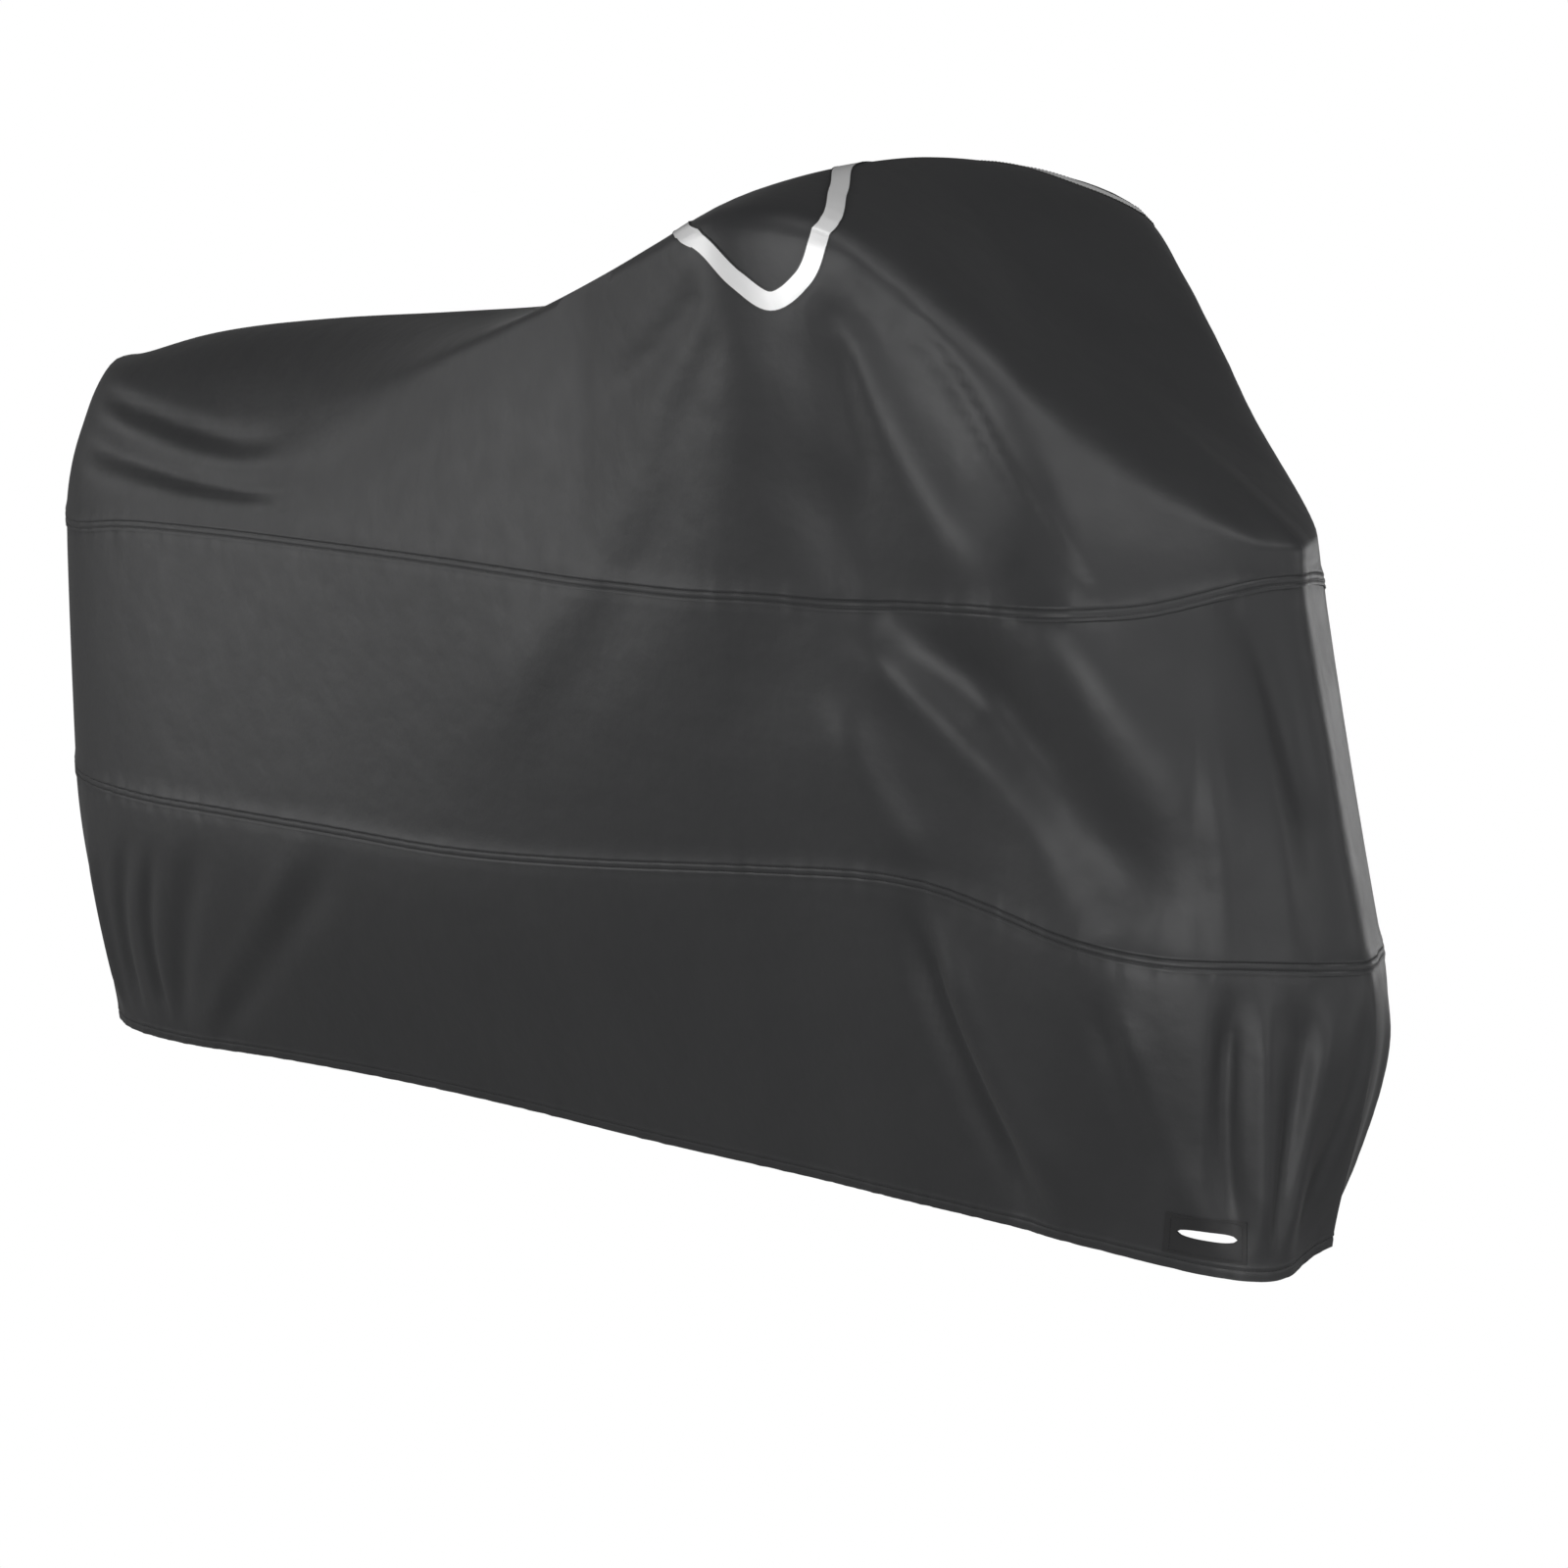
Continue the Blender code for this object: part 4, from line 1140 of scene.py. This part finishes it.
def patch_border(side, inset):
    """A closed line just inside a patch's edge."""
    grid = skirt_points.reshape(*skirt_shape, 3)
    outward = skirt_normals.reshape(*skirt_shape, 3)
    cells = sorted(ring_columns(skirt_stations, side, *PATCH_STATIONS))
    cells = cells + [cells[-1] + 1]
    low = row_number(SKIRT_LOW_ROWS, PATCH_ROWS[0]) + inset
    high = row_number(SKIRT_LOW_ROWS, PATCH_ROWS[1]) - inset
    cells = cells[inset:len(cells) - inset]
    path = ([(c, low) for c in cells] + [(cells[-1], r) for r in range(low + 1, high)]
            + [(c, high) for c in cells[::-1]] + [(cells[0], r) for r in range(high - 1, low, -1)])
    points = np.array([grid[place] for place in path])
    normals = np.array([outward[place] for place in path])
    return points + normals * (PATCH_SEAT + PATCH_THICKNESS), normals, True


patch_stitches = {side: sew("lock_patch_" + side + "_stitches", [patch_border(side, 1)])
                  for side in patches}

# %% [markdown]
# ## Tell the frame what is what
# Each new piece rides on the one body of this cover and stands for its plain solid.

# %% Ride and replace
stands_for = {
    crown: ("crown_panel", "cover_cloth"), band: ("middle_band", "cover_cloth"),
    skirt: ("skirt", "cover_cloth"), tape: ("reflective_tape", "silver_tape"),
    patches["near"]: ("lock_patch_near", "patch_cloth"),
    patches["far"]: ("lock_patch_far", "patch_cloth"),
}
for piece, (node, slot_name) in stands_for.items():
    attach(piece, "root")
    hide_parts(node)
stitches = [upper_stitches, lower_stitches, hem_stitches, tape_stitches,
            *patch_stitches.values()]
for piece in stitches:
    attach(piece, "root")

# %% [markdown]
# ## Floor and light
# The cover stands on a white floor against white. Both are white to the eye, but give the
# cloth only a low grey light, or it would look washed out. Soft lamps stand round it instead:
# low ones make the upright sides shine, and high ones at the front lighten what slopes there.

# %% Floor
FLOOR_HALF = 20.0
FLOOR_GAP = 0.002               # how far the floor lies below the cover
EYE_WHITE = 1.0
FLOOR_GREY = .12
FLOOR_GLOW = .144               # the light that the white floor sends up to the cloth
WORLD_GREY = .03


def camera_only(seen, lit, output):
    """Show one shader to the camera and let another one light the scene."""
    tree = output.id_data
    path, mix = add(tree, "ShaderNodeLightPath"), add(tree, "ShaderNodeMixShader")
    join(path, "Is Camera Ray", mix, "Fac")
    join(lit, 0, mix, 1)
    join(seen, 0, mix, 2)
    join(mix, 0, output, "Surface")


floor_level = cad_box[0][2] - FLOOR_GAP
floor = mesh_object("floor", [(x * FLOOR_HALF, y * FLOOR_HALF, floor_level)
                              for x, y in ((-1, -1), (1, -1), (1, 1), (-1, 1))], [(0, 1, 2, 3)])
floor_finish, tree, shader = node_material("white_floor")
shader.inputs["Base Color"].default_value = grey(FLOOR_GREY)
shader.inputs["Roughness"].default_value = .9
shader.inputs["Emission Color"].default_value = grey(1)
shader.inputs["Emission Strength"].default_value = FLOOR_GLOW
camera_only(add(tree, "ShaderNodeEmission", Strength=EYE_WHITE), shader,
            tree.nodes["Material Output"])
floor.data.materials.append(floor_finish)
print("floor at", floor_level)

# %% World
world = bpy.data.worlds.new("white_studio")
bpy.context.scene.world = world
world.use_nodes = True
dim = world.node_tree.nodes["Background"]
dim.inputs["Color"].default_value = grey(WORLD_GREY)
bright = add(world.node_tree, "ShaderNodeBackground", Color=grey(EYE_WHITE))
camera_only(bright, dim, world.node_tree.nodes["World Output"])

# %% Lamps
# Each lamp: bearing it stands at (degrees, 0 at +X, counter-clockwise), distance, height of
# its middle, width, height, and strength in watts.
AIM_HEIGHT = 0.60
LAMPS = {
    "side":       (225, 4.5, .62, 1.7, 1.1, 32),
    "side_high":  (205, 4.5, 2.20, 1.7, 1.3, 18),
    "middle":     (292, 4.5, .62, 1.7, 1.1, 58),
    "front":      (337, 4.5, .62, 1.7, 1.1, 20),
    "front_high": (320, 3.6, 4.00, 1.7, 1.4, 42),
    "end":        (20, 4.5, .62, 1.7, 1.1, 16),
    "end_high":   (0, 3.6, 4.00, 1.7, 1.4, 38),
    "back":       (75, 4.5, .62, 1.7, 1.1, 24),
    "back_side":  (140, 4.5, .62, 1.7, 1.1, 26),
}
for name, (bearing, distance, height, wide, high, watts) in LAMPS.items():
    lamp = bpy.data.lights.new(name, "AREA")
    lamp.shape = "RECTANGLE"
    lamp.size, lamp.size_y = wide, high
    lamp.energy = watts
    stand = bpy.data.objects.new(name, lamp)
    bpy.context.collection.objects.link(stand)
    turn = math.radians(bearing)
    stand.location = (distance * math.cos(turn), distance * math.sin(turn), height)
    aim = Vector((0, 0, AIM_HEIGHT)) - stand.location
    stand.rotation_euler = aim.to_track_quat("-Z", "Y").to_euler()

# %% [markdown]
# ## Camera
# The camera looks at the cover from the front and the near side, a little above level. A
# long lens from 5 m keeps the outline close to what the eye expects.

# %% Camera
CAMERA_AZIMUTH = math.radians(43)
CAMERA_PITCH = math.radians(8.49)
CAMERA_PLACE = (3.616, -3.688, 1.174)
CAMERA_LENS = 103.5
view = bpy.data.cameras.new("camera")
view.lens = CAMERA_LENS
view.sensor_width = 36.0
camera = bpy.data.objects.new("camera", view)
camera.location = CAMERA_PLACE
camera.rotation_euler = (math.pi / 2 - CAMERA_PITCH, 0, CAMERA_AZIMUTH)
bpy.context.collection.objects.link(camera)
bpy.context.scene.camera = camera
bpy.context.scene.view_settings.view_transform = "Standard"
